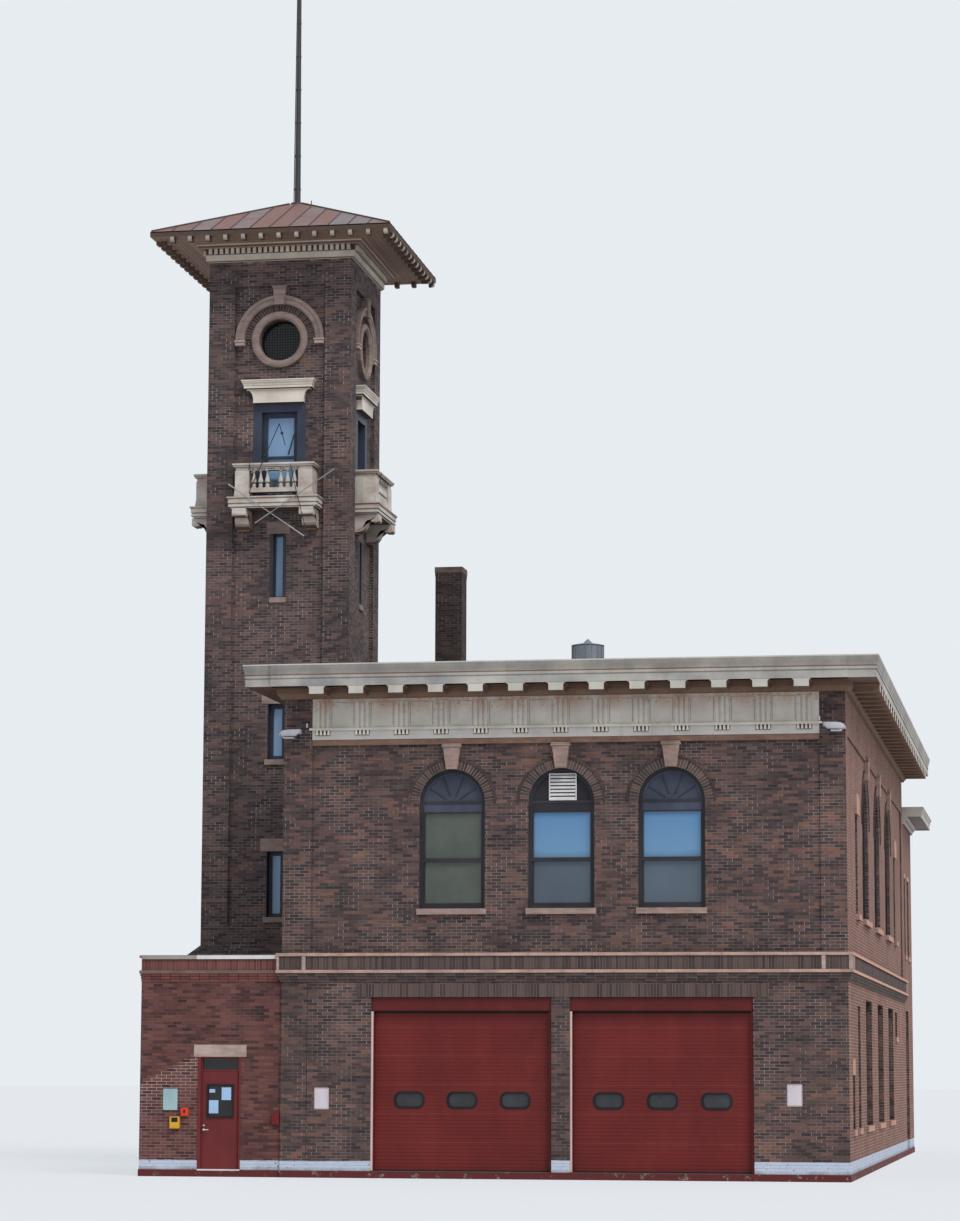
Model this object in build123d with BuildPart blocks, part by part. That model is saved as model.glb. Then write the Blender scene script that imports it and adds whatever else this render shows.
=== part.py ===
from build123d import *
from collections import namedtuple
import os

# Fire station with a corner tower and a one-storey annex, in millimetres.
# X runs to the right along the street front, Y runs back into the building, Z is up.
# The origin is at the foot of the front wall, on the middle of the main block.

# Main block
main_width = 12190
main_depth = 23220
wall = 400
sill_level = 150
foundation_out = 15
belt_bottom = 4170
belt_step = 60
belt_steps = 3
belt_stone = 70
belt_soldiers = 290
belt_out = 115
belt_brick_out = 80
soffit_level = 10285
wall_top = 10930
floor_thickness = 300
roof_thickness = 220
left_pilaster = 633
right_pilaster = 553
field_recess = 50
side_field_margin = 620
side_field_top = 9400
side_recess = 40

# Main cornice
cornice_out = 795
corona_out = 745
soffit_board = 10500
crown_bottom = 10850
cornice_top = 10981
bed_out = 150
bed_low_out = 90
bed_step = 120
modillion_width = 340
modillion_height = 175
modillion_depth = 550
modillion_gap = 30
bay = 871

# Frieze of the front
frieze_bottom = 9395
frieze_out = 10
fascia_out = 25
taenia_bottom = 9597
taenia_height = 53
taenia_out = 60
triglyph_count = 13
glyph_width = 70
glyph_pitch = 110
glyph_out = 25
glyph_top_gap = 60

# Front windows
front_window_width = 1430
front_window_pitch = 2377
front_window_height = 3000
upper_sill = 5725
sill_height = 125
sill_out = 45
sill_side = 40
sill_depth = 160
keystone_height = 550
keystone_top_width = 390
keystone_foot_width = 240
keystone_out = 70
keystone_in = 90

# Window fittings
window_setback = 150
frame_depth = 70
frame_border = 75
bar_width = 60
meeting_rail = 1040
low_window_bar = 1750
glass_thickness = 10

# Side windows
side_window_width = 2200
side_window_pitch = 4600
side_window_height = 3230
narrow_width = 800
narrow_height = 2210
narrow_inset = 3790
lintel_height = 450
lintel_side = 60
lintel_out = 12
lintel_depth = 110
low_window_sill = 1060
low_window_height = 2830
low_narrow_height = 2650
low_narrow_y = 3450
corner_window_y = 1490
corner_window_width = 700
corner_window_height = 1150
corner_lintel = 350
small_window_y = 18800
small_window_width = 900
small_window_sill = 3190
small_window_height = 650

# Garage doors
pier_left_x = -205
pier_right_x = 190
door_left_x = -4120
door_right_x = 4098
door_head = 3838
header_bottom = 3545
header_setback = 60
door_setback = 190
door_thickness = 50
section_height = 610
section_groove = 12
section_groove_depth = 10
jamb_width = 60
jamb_depth = 120
porthole_width = 640
porthole_height = 340
porthole_corner = 150
porthole_pitch = 1150
porthole_level = 1655

# Rear block
rear_depth = 4670
rear_soffit = 8980
rear_top = 9540
rear_cornice_top = 9595
rear_cornice_out = 597
rear_fascia = 270
rear_bed_out = 150
rear_bed_height = 200
rear_narrow_width = 600
rear_narrow_sill = 5510
rear_narrow_offset = 900
rear_wide_width = 900
rear_wide_offset = 2650
rear_window_height = 2150
rear_lintel = 125
rear_door_width = 1500
rear_door_offset = 1500
rear_door_head = 3970
rear_transom_bottom = 3480
rear_back_width = 1100
rear_back_pitch = 3300

# Annex
annex_left_x = -9229
annex_front_y = 50
annex_wall = 300
annex_top = 4690
annex_roof_level = 4200
annex_roof_thickness = 180
coping_out = 45
coping_height = 55
annex_window_width = 900
annex_window_height = 1300
annex_window_sill = 1150
annex_window_pitch = 2600

# Man door of the annex
frame_left_x = -7880
frame_right_x = -7015
frame_head = 2560
man_frame_width = 40
man_frame_setback = 50
man_frame_depth = 110
transom_bar_bottom = 2245
transom_bar_height = 40
leaf_thickness = 45
leaf_gap = 5
leaf_foot_gap = 10
leaf_window_left = -7712
leaf_window_right = -7178
leaf_window_bottom = 1285
leaf_window_top = 1945
pane_thickness = 12
hinge_radius = 9
hinge_offset = 12
hinge_leaf = 35
hinge_plate = 6
hinge_length = 100
hinge_levels = (400, 1200, 2050)
hinge_end_gap = 0.3
handle_level = 1090
handle_height = 200
handle_inset = 75
handle_reach = 50
handle_radius = 9
handle_plate = 8
handle_plate_width = 36
grip_height = 133
annex_lintel_side = 150
annex_lintel_height = 260

# Tower
tower_width = 3513
tower_front_y = 6512
tower_wall = 400
tower_top = 22070
tower_base_out = 300
tower_base_top = 4924
tower_base_slope = 276
panel_width = 2230
panel_bottom = 5659
panel_top = 21100
panel_recess = 90
oculus_level = 19767
oculus_radius = 510
oculus_ring_width = 180
oculus_ring_out = 45
hood_inner = 870
hood_width = 220
hood_out = 60
hood_key_width = 340
hood_key_height = 450
hood_key_out = 100
tower_door_width = 1293
tower_door_top = 18215
tower_frame_border = 210
tower_frame_depth = 160
tower_sash_border = 110
tower_sash_depth = 60
hood_block_width = 1340
hood_block_height = 300
hood_block_out = 70
hood_cap_width = 1806
hood_cap_height = 250
hood_cap_out = 190
# Sill, height, width and frame border of each slit window, from the top down
slits = ((13490, 1543, 280, 45), (9600, 1330, 420, 100), (5860, 1556, 400, 95))
slit_lintel_height = 300
slit_lintel_side = 150
slit_sill_height = 130
slit_sill_side = 65
tower_floor_level = 15850
tower_floor_thickness = 250

# Balconies of the tower
balcony_width = 2240
balcony_out = 600
balcony_slab = 280
balcony_inset = 120
balustrade_width = 1890
balcony_top = 16662
cap_rail_height = 92
cap_rail_out = 60
cap_rail_depth = 290
neck_rail_height = 80
pedestal_width = 340
bottom_rail_height = 112
bottom_rail_gap = 110
rail_depth = 170
baluster_pitch = 165
baluster_neck = 28
baluster_belly = 55
baluster_belly_share = 0.32
baluster_count = 7
missing_baluster = 4
console_width = 340
console_inset = 130
console_height = 490
console_depth = 560
console_foot_depth = 160
console_nose = 160

# Roof of the tower
eave_level = 22252
eave_out = 1187
eave_thickness = 120
apex_level = 23525
attic_top = 22950
dentil_bottom = 21895
dentil_height = 137
dentil_width = 80
dentil_pitch = 137
dentil_out = 165
bed_band_height = 138
bed_band_out = 80
crown_foot_out = 200
crown_step = 50
crown_out = 290
rafter_width = 90
rafter_height = 125
rafter_pitch = 437
rafter_count = 12
rafter_tail = 250
rafter_end_gap = 20

# Mast, chimney and roof vent
mast_radius = 75
mast_tip_radius = 35
mast_top = 30500
mast_flange_radius = 170
mast_flange_height = 60
chimney_width = 710
chimney_y = 15520
chimney_top = 15480
chimney_flue = 420
chimney_cap_out = 15
chimney_cap_height = 150
vent_x = 110
vent_y = 3350
vent_radius = 360
vent_wall = 12
vent_shaft_top = 11780
vent_lid_height = 55
vent_lid_top_radius = 108
vent_cap_height = 95
vent_cap_tip_radius = 10

# Small fittings of the front
flood_width = 450
flood_depth = 230
flood_height = 190
flood_level = 9500
flood_arm = 120
flood_arm_radius = 25
flood_back_plate = 110
flood_plate_thickness = 25
flood_x = (-5900, 5870)
sign_thickness = 6
sign_width = 320
sign_height = 457
sign_places = ((-5186, 1450), (4950, 1560))
annex_sign_x = -8545
annex_sign_level = 1645
box_places = ((-8210, 1380, 165, 180), (-8425, 1150, 215, 255), (-6195, 1238, 170, 255))
box_depth = 110

# Places that follow from the sizes above
half = main_width / 2
back_y = main_depth + rear_depth
belt_low_stone = belt_bottom + belt_steps * belt_step
belt_high_stone = belt_low_stone + belt_stone + belt_soldiers
belt_top = belt_high_stone + belt_stone
floor_bottom = belt_low_stone + belt_stone
field_left = -half + left_pilaster
field_right = half - right_pilaster
side_field_end = main_depth - side_field_margin
rear_door_y = main_depth + rear_door_offset
rear_door_height = rear_door_head - sill_level
tower_right_x = -half
tower_left_x = tower_right_x - tower_width
tower_x = tower_right_x - tower_width / 2
tower_y = tower_front_y + tower_width / 2
tower_back_y = tower_front_y + tower_width
base_front_y = tower_front_y - tower_base_out
base_back_y = tower_back_y + tower_base_out
base_left_x = tower_left_x - tower_base_out
shaft_bottom = tower_base_top + tower_base_slope
inner = tower_width / 2 - tower_wall
tower_box = (tower_left_x, tower_right_x, tower_front_y, tower_back_y)
tower_inside = (tower_x - inner, tower_x + inner, tower_y - inner, tower_y + inner)
soffit_z = eave_level - eave_thickness
tower_door_height = tower_door_top - tower_floor_level
annex_inner_x = annex_left_x + annex_wall
annex_inner_y = annex_front_y + annex_wall
frame_face_y = annex_front_y + man_frame_setback
leaf_left_x = frame_left_x + man_frame_width + leaf_gap
hinge_x = frame_right_x - man_frame_width
leaf_right_x = hinge_x - leaf_gap
leaf_top = transom_bar_bottom - leaf_gap
leaf_foot = sill_level + leaf_foot_gap
hinge_y = frame_face_y - hinge_offset
knuckle = hinge_length / 3
triglyph_places = [(i - (triglyph_count - 1) / 2) * bay for i in range(triglyph_count)]

# Round pieces stand with the middle of their foot on their place
on_foot = (Align.CENTER, Align.CENTER, Align.MIN)

# Planes of the walls: their own x runs along the wall and their own y is up
# On the left and the back, places along the wall count the other way and are mirrored
front_plane = Plane.XZ
right_plane = Plane.YZ.offset(half)
left_plane = Plane(origin=(-half, 0, 0), x_dir=(0, -1, 0), z_dir=(-1, 0, 0))
back_plane = Plane(origin=(0, back_y, 0), x_dir=(-1, 0, 0), z_dir=(0, 1, 0))
annex_left_plane = Plane(origin=(annex_left_x, 0, 0), x_dir=(0, -1, 0), z_dir=(-1, 0, 0))
annex_front_plane = Plane.XZ.offset(-annex_front_y)
tower_planes = [
    Plane(origin=(tower_x, tower_front_y, 0), x_dir=(1, 0, 0), z_dir=(0, -1, 0)),
    Plane(origin=(tower_left_x, tower_y, 0), x_dir=(0, -1, 0), z_dir=(-1, 0, 0)),
    Plane(origin=(tower_right_x, tower_y, 0), x_dir=(0, 1, 0), z_dir=(1, 0, 0)),
    Plane(origin=(tower_x, tower_back_y, 0), x_dir=(-1, 0, 0), z_dir=(0, 1, 0)),
]


def block(x0, x1, y0, y1, z0, z1, mode=Mode.ADD):
    """Box between two corners."""
    with Locations(((x0 + x1) / 2, (y0 + y1) / 2, (z0 + z1) / 2)):
        Box(x1 - x0, y1 - y0, z1 - z0, mode=mode)


def ring(x0, x1, y0, y1, out, inside, z0, z1, mode=Mode.ADD):
    """Band around a rectangle, from `out` beyond its sides to `inside` within them."""
    with BuildSketch(Plane.XY.offset(z0)) as band:
        with Locations(((x0 + x1) / 2, (y0 + y1) / 2)):
            Rectangle(x1 - x0 + 2 * out, y1 - y0 + 2 * out)
            Rectangle(x1 - x0 - 2 * inside, y1 - y0 - 2 * inside, mode=Mode.SUBTRACT)
    extrude(band.sketch, amount=z1 - z0, mode=mode)


def outline(place, sill, width, height, arched=False, mode=Mode.ADD):
    """Square or round-headed outline in a sketch on a wall's plane."""
    straight = height - width / 2 if arched else height
    with Locations((place, sill + straight / 2)):
        Rectangle(width, straight, mode=mode)
    if arched:
        with Locations((place, sill + straight)):
            Circle(width / 2, mode=mode)


def prism(plane, place, sill, width, height, depth, arched=False, mode=Mode.ADD):
    """Square or round-headed prism that leaves a wall's plane along its normal."""
    with BuildSketch(plane) as shape:
        outline(place, sill, width, height, arched)
    extrude(shape.sketch, amount=depth, mode=mode)


def disc(plane, place, level, radius, depth, mode=Mode.ADD):
    """Round prism that leaves a wall's plane along its normal."""
    with BuildSketch(plane) as shape:
        with Locations((place, level)):
            Circle(radius)
    extrude(shape.sketch, amount=depth, mode=mode)


def cut_windows(plane, windows):
    """Openings of a wall's windows, right through it."""
    with BuildSketch(plane.offset(foundation_out)) as holes:
        for window in windows:
            outline(window.place, window.sill, window.width, window.height, window.arched)
    extrude(holes.sketch, amount=-2 * wall, mode=Mode.SUBTRACT)


def add_frames(plane, windows):
    """Frames of a wall's windows: a border and cross bars, set back from the wall's face."""
    with BuildSketch(plane.offset(-window_setback)) as frames:
        for window in windows:
            inner_width = window.width - 2 * frame_border
            inner_height = window.height - 2 * frame_border
            inner_foot = window.sill + frame_border
            outline(window.place, window.sill, window.width, window.height, window.arched)
            outline(window.place, inner_foot, inner_width, inner_height, window.arched, Mode.SUBTRACT)
            for level in window.bars:
                bar_foot = window.sill + level - bar_width / 2
                outline(window.place, bar_foot, inner_width + bar_width, bar_width)
    extrude(frames.sketch, amount=-frame_depth)


def add_panes(plane, windows):
    """Sheets of glass that close a wall's windows behind their frames."""
    with BuildSketch(plane.offset(-window_setback - frame_depth)) as panes:
        for window in windows:
            outline(window.place, window.sill, window.width, window.height, window.arched)
    extrude(panes.sketch, amount=-glass_thickness)


def add_stones(plane, windows, mode=Mode.ADD):
    """Sills, lintels and keystones of a wall's windows, or the pockets that take them."""
    with BuildSketch(plane.offset(sill_out)) as sills:
        for window in windows:
            sill_foot = window.sill - sill_height
            outline(window.place, sill_foot, window.width + 2 * sill_side, sill_height)
    extrude(sills.sketch, amount=-(sill_out + sill_depth), mode=mode)
    for window in windows:
        head = window.sill + window.height
        if window.lintel:
            face = plane.offset(lintel_out)
            lintel_width = window.width + 2 * lintel_side
            depth = -lintel_out - lintel_depth
            prism(face, window.place, head, lintel_width, window.lintel, depth, mode=mode)
        if window.arched:
            with BuildSketch(plane.offset(keystone_out)) as keystone:
                with BuildLine():
                    Polyline(
                        (window.place - keystone_foot_width / 2, head),
                        (window.place + keystone_foot_width / 2, head),
                        (window.place + keystone_top_width / 2, head + keystone_height),
                        (window.place - keystone_top_width / 2, head + keystone_height),
                        close=True,
                    )
                make_face()
            extrude(keystone.sketch, amount=-(keystone_out + keystone_in), mode=mode)


def mirrored(windows):
    """The same windows on a wall whose own x runs the other way."""
    return [window._replace(place=-window.place) for window in windows]


Window = namedtuple("Window", "place sill width height bars lintel arched", defaults=((), 0, False))


def arched_window(place, width, height):
    """Round-headed window of the upper storey, with a transom bar at its springing and a meeting rail."""
    return Window(place, upper_sill, width, height, (height - width / 2, meeting_rail), arched=True)


def narrow_window(place):
    """Narrow upper window under a deep stone lintel."""
    return Window(place, upper_sill, narrow_width, narrow_height, (meeting_rail,), lintel_height)


def large_window(place):
    """Large window of the ground floor."""
    return Window(place, low_window_sill, side_window_width, low_window_height, (low_window_bar,))


def tall_low_window(place, width):
    """Tall narrow window of the ground floor."""
    return Window(place, low_window_sill, width, low_narrow_height, (low_window_bar,))


def rear_upper_window(place, width):
    """Upper window of the rear block under a thin lintel."""
    return Window(place, rear_narrow_sill, width, rear_window_height, (meeting_rail,), rear_lintel)


# Windows of each wall, in the wall's own coordinates
front_places = [i * front_window_pitch for i in (-1, 0, 1)]
front_windows = [arched_window(x, front_window_width, front_window_height) for x in front_places]
side_places = [main_depth / 2 + i * side_window_pitch for i in (-1, 0, 1)]
side_arched = [arched_window(y, side_window_width, side_window_height) for y in side_places]
side_narrow = [narrow_window(y) for y in (narrow_inset, main_depth - narrow_inset)]
side_large = [large_window(y) for y in side_places]
low_narrow = tall_low_window(low_narrow_y, narrow_width)
small_window = Window(small_window_y, small_window_sill, small_window_width, small_window_height)
corner_window = Window(
    corner_window_y, low_window_sill, corner_window_width, corner_window_height, lintel=corner_lintel
)
main_right_windows = side_arched + side_narrow + side_large + [low_narrow, small_window, corner_window]
clear_of_tower = [w for w in side_arched + side_large if w.place - w.width / 2 > base_back_y]
main_left_windows = mirrored(clear_of_tower + side_narrow + [small_window])
rear_upper = [
    rear_upper_window(main_depth + rear_narrow_offset, rear_narrow_width),
    rear_upper_window(main_depth + rear_wide_offset, rear_wide_width),
]
rear_left_windows = mirrored(rear_upper + [tall_low_window(rear_door_y, rear_wide_width)])
back_places = [i * rear_back_pitch for i in (-1, 0, 1)]
back_windows = [rear_upper_window(x, rear_back_width) for x in back_places]
back_windows += [tall_low_window(x, rear_back_width) for x in back_places]
annex_middle = (annex_front_y + base_front_y) / 2
annex_places = [-annex_middle + i * annex_window_pitch / 2 for i in (-1, 1)]
annex_windows = [
    Window(y, annex_window_sill, annex_window_width, annex_window_height, lintel=rear_lintel)
    for y in annex_places
]


def finish(part, name):
    """Label a finished piece and write it."""
    part.label = name
    export_step(part, f"parts/{name}.step")


os.makedirs("parts", exist_ok=True)

# Foundation slab under all the walls; its top is the ground floor
with BuildPart() as foundation:
    out = foundation_out
    block(-half - out, half + out, -out, back_y + out, 0, sill_level)
    block(annex_left_x - out, -half, annex_front_y - out, base_front_y, 0, sill_level)
    block(base_left_x - out, -half, base_front_y - out, base_back_y + out, 0, sill_level)
finish(foundation.part, "foundation")

# Three brick piers beside the two garage doors
with BuildPart() as front_piers:
    block(-half, door_left_x, 0, wall, sill_level, door_head)
    block(pier_left_x, pier_right_x, 0, wall, sill_level, door_head)
    block(door_right_x, half, 0, wall, sill_level, door_head)
finish(front_piers.part, "front_piers")

# Wall strip over the garage doors, up to the corbels of the belt course
with BuildPart() as front_lintel_wall:
    block(-half, half, 0, wall, door_head, belt_bottom)
finish(front_lintel_wall.part, "front_lintel_wall")

# Upper storey of the street front: flush corner pilasters beside a recessed field
with BuildPart() as front_wall_upper:
    block(-half, half, 0, wall, belt_bottom, wall_top)
    block(field_left, field_right, 0, field_recess, belt_top, soffit_level, Mode.SUBTRACT)
    cut_windows(front_plane, front_windows)
    add_stones(front_plane, front_windows, Mode.SUBTRACT)
finish(front_wall_upper.part, "front_wall_upper")

# Right side wall of the main block, through both storeys
with BuildPart() as right_wall:
    block(half - wall, half, wall, main_depth, sill_level, wall_top)
    block(half - side_recess, half, side_field_margin, side_field_end, belt_top, side_field_top,
          Mode.SUBTRACT)
    cut_windows(right_plane, main_right_windows)
    add_stones(right_plane, main_right_windows, Mode.SUBTRACT)
finish(right_wall.part, "right_wall")

# Left side wall: the annex and the tower stand against its front half
with BuildPart() as left_wall:
    block(-half, -half + wall, wall, main_depth, sill_level, wall_top)
    block(-half, -half + side_recess, base_back_y, side_field_end, belt_top, side_field_top, Mode.SUBTRACT)
    cut_windows(left_plane, main_left_windows)
    add_stones(left_plane, main_left_windows, Mode.SUBTRACT)
finish(left_wall.part, "left_wall")

# Rear wall of the main block, which stands out over the rear block's roof
with BuildPart() as main_rear_wall:
    block(-half + wall, half - wall, main_depth - wall, main_depth, sill_level, wall_top)
finish(main_rear_wall.part, "main_rear_wall")

# Side walls of the rear block, between the main block and the back wall
with BuildPart() as rear_side_walls:
    block(half - wall, half, main_depth, back_y - wall, sill_level, rear_top)
    cut_windows(right_plane, rear_upper)
    prism(right_plane, rear_door_y, sill_level, rear_door_width, rear_door_height, -wall, mode=Mode.SUBTRACT)
    add_stones(right_plane, rear_upper, Mode.SUBTRACT)
    block(-half, -half + wall, main_depth, back_y - wall, sill_level, rear_top)
    cut_windows(left_plane, rear_left_windows)
    add_stones(left_plane, rear_left_windows, Mode.SUBTRACT)
finish(rear_side_walls.part, "rear_side_walls")

# Back wall of the rear block
with BuildPart() as rear_back_wall:
    block(-half, half, back_y - wall, back_y, sill_level, rear_top)
    cut_windows(back_plane, back_windows)
    add_stones(back_plane, back_windows, Mode.SUBTRACT)
finish(rear_back_wall.part, "rear_back_wall")

# Upper floors of both blocks, between their walls
with BuildPart() as upper_floors:
    block(-half + wall, half - wall, wall, main_depth - wall, floor_bottom, floor_bottom + floor_thickness)
    block(-half + wall, half - wall, main_depth, back_y - wall, floor_bottom, floor_bottom + floor_thickness)
finish(upper_floors.part, "upper_floors")

# Flat roof decks behind the cornices
with BuildPart() as roof_decks:
    block(-half + wall, half - wall, wall, main_depth - wall, soffit_level, soffit_level + roof_thickness)
    block(-half + wall, half - wall, main_depth, back_y - wall, rear_soffit, rear_soffit + roof_thickness)
finish(roof_decks.part, "roof_decks")

# Belt course between the storeys: corbels, a stone band, soldier bricks and a second stone band
with BuildPart() as belt_course:
    layers = []
    for i in range(belt_steps):
        corbel_foot = belt_bottom + i * belt_step
        layers.append((corbel_foot, corbel_foot + belt_step, belt_out * (i + 1) / (belt_steps + 1)))
    layers.append((belt_low_stone, floor_bottom, belt_out))
    layers.append((floor_bottom, belt_high_stone, belt_brick_out))
    layers.append((belt_high_stone, belt_top, belt_out))
    for low, high, out in layers:
        block(-half - out, half + out, -out, 0, low, high)
        block(-half - out, -half, -out, annex_front_y, low, high)
        block(half, half + out, -out, main_depth, low, high)
        block(-half - out, -half, base_back_y, main_depth, low, high)
finish(belt_course.part, "belt_course")

# Main cornice around the four sides, cut where the tower passes through it
with BuildPart() as main_cornice:
    for low, high, out in (
        (soffit_level, soffit_level + bed_step, bed_low_out),
        (soffit_level + bed_step, soffit_board, bed_out),
        (soffit_board, crown_bottom, corona_out),
        (crown_bottom, wall_top, (corona_out + cornice_out) / 2),
    ):
        ring(-half, half, 0, main_depth, out, 0, low, high)
    ring(-half, half, 0, main_depth, cornice_out, wall, wall_top, cornice_top)
    block(tower_left_x, -half, tower_front_y, tower_back_y, soffit_level, cornice_top, Mode.SUBTRACT)
finish(main_cornice.part, "main_cornice")

# Modillions under the soffit, one to each bay of the frieze and evenly along the sides, but none before the tower
with BuildPart() as cornice_modillions:
    reach = bed_out + modillion_gap + modillion_depth / 2
    side_count = int((main_depth - 2 * modillion_width) // bay)
    side_rows = [main_depth / 2 + (i - side_count / 2) * bay for i in range(side_count + 1)]
    behind_tower = [y for y in side_rows if y > tower_back_y + modillion_width]
    across = [(x, y) for x in triglyph_places for y in (-reach, main_depth + reach)]
    along = [(half + reach, y) for y in side_rows] + [(-half - reach, y) for y in behind_tower]
    with BuildSketch(Plane.XY.offset(soffit_board)):
        with Locations(across):
            Rectangle(modillion_width, modillion_depth)
        with Locations(along):
            Rectangle(modillion_depth, modillion_width)
    extrude(amount=-modillion_height)
finish(cornice_modillions.part, "cornice_modillions")

# Frieze of the street front: a board with a fascia and a taenia at its foot, and three bars in each triglyph
with BuildPart() as frieze:
    bar_foot = taenia_bottom + taenia_height
    bar_height = soffit_level - glyph_top_gap - bar_foot
    block(field_left, field_right, -frieze_out, field_recess, frieze_bottom, soffit_level)
    block(field_left, field_right, -fascia_out, -frieze_out, frieze_bottom, taenia_bottom)
    block(field_left, field_right, -taenia_out, -frieze_out, taenia_bottom, bar_foot)
    with BuildSketch(front_plane.offset(frieze_out)) as bars:
        for x in triglyph_places:
            for i in (-1, 0, 1):
                outline(x + i * glyph_pitch, bar_foot, glyph_width, bar_height)
    extrude(bars.sketch, amount=glyph_out)
finish(frieze.part, "frieze")

# Sills and keystones of the three front windows
with BuildPart() as front_stone_trim:
    add_stones(front_plane, front_windows)
finish(front_stone_trim.part, "front_stone_trim")

# Sills, lintels and keystones of the other walls
with BuildPart() as side_stone_trim:
    add_stones(right_plane, main_right_windows + rear_upper)
    add_stones(left_plane, main_left_windows + rear_left_windows)
    add_stones(back_plane, back_windows)
    add_stones(annex_left_plane, annex_windows)
finish(side_stone_trim.part, "side_stone_trim")

# Frames of the three arched front windows
with BuildPart() as front_window_frames:
    add_frames(front_plane, front_windows)
finish(front_window_frames.part, "front_window_frames")

other_walls = (
    (right_plane, main_right_windows + rear_upper),
    (left_plane, main_left_windows + rear_left_windows),
    (back_plane, back_windows),
    (annex_left_plane, annex_windows),
)

# Frames of the windows on the sides, the back and the annex
with BuildPart() as side_window_frames:
    for plane, windows in other_walls:
        add_frames(plane, windows)
finish(side_window_frames.part, "side_window_frames")

# Glass behind the frames
with BuildPart() as window_glass:
    add_panes(front_plane, front_windows)
    for plane, windows in other_walls:
        add_panes(plane, windows)
finish(window_glass.part, "window_glass")

# Garage door openings: left and right edge of each
garage_openings = ((door_left_x, pier_left_x), (pier_right_x, door_right_x))


def portholes(left, right, face, depth, mode=Mode.ADD):
    """Three rounded portholes of one garage door, cut out or filled."""
    with BuildSketch(front_plane.offset(-face)) as holes:
        with Locations(((left + right) / 2, porthole_level)):
            with GridLocations(porthole_pitch, porthole_height, 3, 1):
                RectangleRounded(porthole_width, porthole_height, porthole_corner)
    extrude(holes.sketch, amount=-depth, mode=mode)


# Header boards and side jambs of the two garage doors
with BuildPart() as garage_door_frames:
    for left, right in garage_openings:
        block(left, right, header_setback, door_setback + door_thickness, header_bottom, door_head)
        for jamb_left in (left, right - jamb_width):
            jamb_right = jamb_left + jamb_width
            block(jamb_left, jamb_right, door_setback - jamb_depth, door_setback, sill_level, header_bottom)
finish(garage_door_frames.part, "garage_door_frames")

# Sectional garage doors with three rounded portholes each
with BuildPart() as garage_doors:
    for left, right in garage_openings:
        block(left, right, door_setback, door_setback + door_thickness, sill_level, header_bottom)
        groove = sill_level + section_height
        while groove < header_bottom - section_groove:
            block(left, right, door_setback, door_setback + section_groove_depth,
                  groove - section_groove / 2, groove + section_groove / 2, Mode.SUBTRACT)
            groove += section_height
        portholes(left, right, door_setback, door_thickness, Mode.SUBTRACT)
finish(garage_doors.part, "garage_doors")

# Panes of the portholes
with BuildPart() as garage_door_glass:
    for left, right in garage_openings:
        portholes(left, right, door_setback + door_thickness / 2, pane_thickness)
finish(garage_door_glass.part, "garage_door_glass")

# Cornice of the rear block on its three free sides
with BuildPart() as rear_cornice:
    fascia_bottom = rear_cornice_top - rear_fascia
    ring(-half, half, main_depth, back_y, rear_bed_out, 0, fascia_bottom - rear_bed_height, fascia_bottom)
    ring(-half, half, main_depth, back_y, rear_cornice_out, 0, fascia_bottom, rear_top)
    ring(-half, half, main_depth, back_y, rear_cornice_out, wall, rear_top, rear_cornice_top)
    reach = half + cornice_out
    block(-reach, reach, main_depth - cornice_out, main_depth, rear_soffit - wall, cornice_top, Mode.SUBTRACT)
finish(rear_cornice.part, "rear_cornice")

# Tall red door in the side of the rear block, with its frame and a panelled transom
with BuildPart() as rear_door:
    transom_level = rear_transom_bottom - sill_level
    opening = Window(rear_door_y, sill_level, rear_door_width, rear_door_height, (transom_level,))
    add_frames(right_plane, [opening])
    panel_face = right_plane.offset(-window_setback - glass_thickness)
    prism(panel_face, rear_door_y, sill_level, rear_door_width, rear_door_height, -door_thickness)
finish(rear_door.part, "rear_door")

# Piers of the annex beside its door
with BuildPart() as annex_front_piers:
    block(annex_left_x, frame_left_x, annex_front_y, annex_inner_y, sill_level, frame_head)
    block(frame_right_x, -half, annex_front_y, annex_inner_y, sill_level, frame_head)
finish(annex_front_piers.part, "annex_front_piers")


def annex_stone(mode=Mode.ADD):
    """Lintel of the man door, or the pocket that takes it."""
    face = annex_front_plane.offset(lintel_out)
    middle = (frame_left_x + frame_right_x) / 2
    width = frame_right_x - frame_left_x + 2 * annex_lintel_side
    prism(face, middle, frame_head, width, annex_lintel_height, -lintel_out - lintel_depth, mode=mode)


# Wall of the annex over its door, with its parapet
with BuildPart() as annex_wall_over_door:
    block(annex_left_x, -half, annex_front_y, annex_inner_y, frame_head, annex_top)
    annex_stone(Mode.SUBTRACT)
finish(annex_wall_over_door.part, "annex_wall_over_door")

# Stone lintel over the annex door
with BuildPart() as annex_lintel:
    annex_stone()
finish(annex_lintel.part, "annex_lintel")

# Left wall of the annex, from its front wall to the foot of the tower
with BuildPart() as annex_left_wall:
    block(annex_left_x, annex_inner_x, annex_inner_y, base_front_y, sill_level, annex_top)
    cut_windows(annex_left_plane, annex_windows)
    add_stones(annex_left_plane, annex_windows, Mode.SUBTRACT)
finish(annex_left_wall.part, "annex_left_wall")

# Flat roof of the annex behind its parapets
with BuildPart() as annex_roof:
    block(annex_inner_x, -half, annex_inner_y, base_front_y,
          annex_roof_level - annex_roof_thickness, annex_roof_level)
finish(annex_roof.part, "annex_roof")

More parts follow.
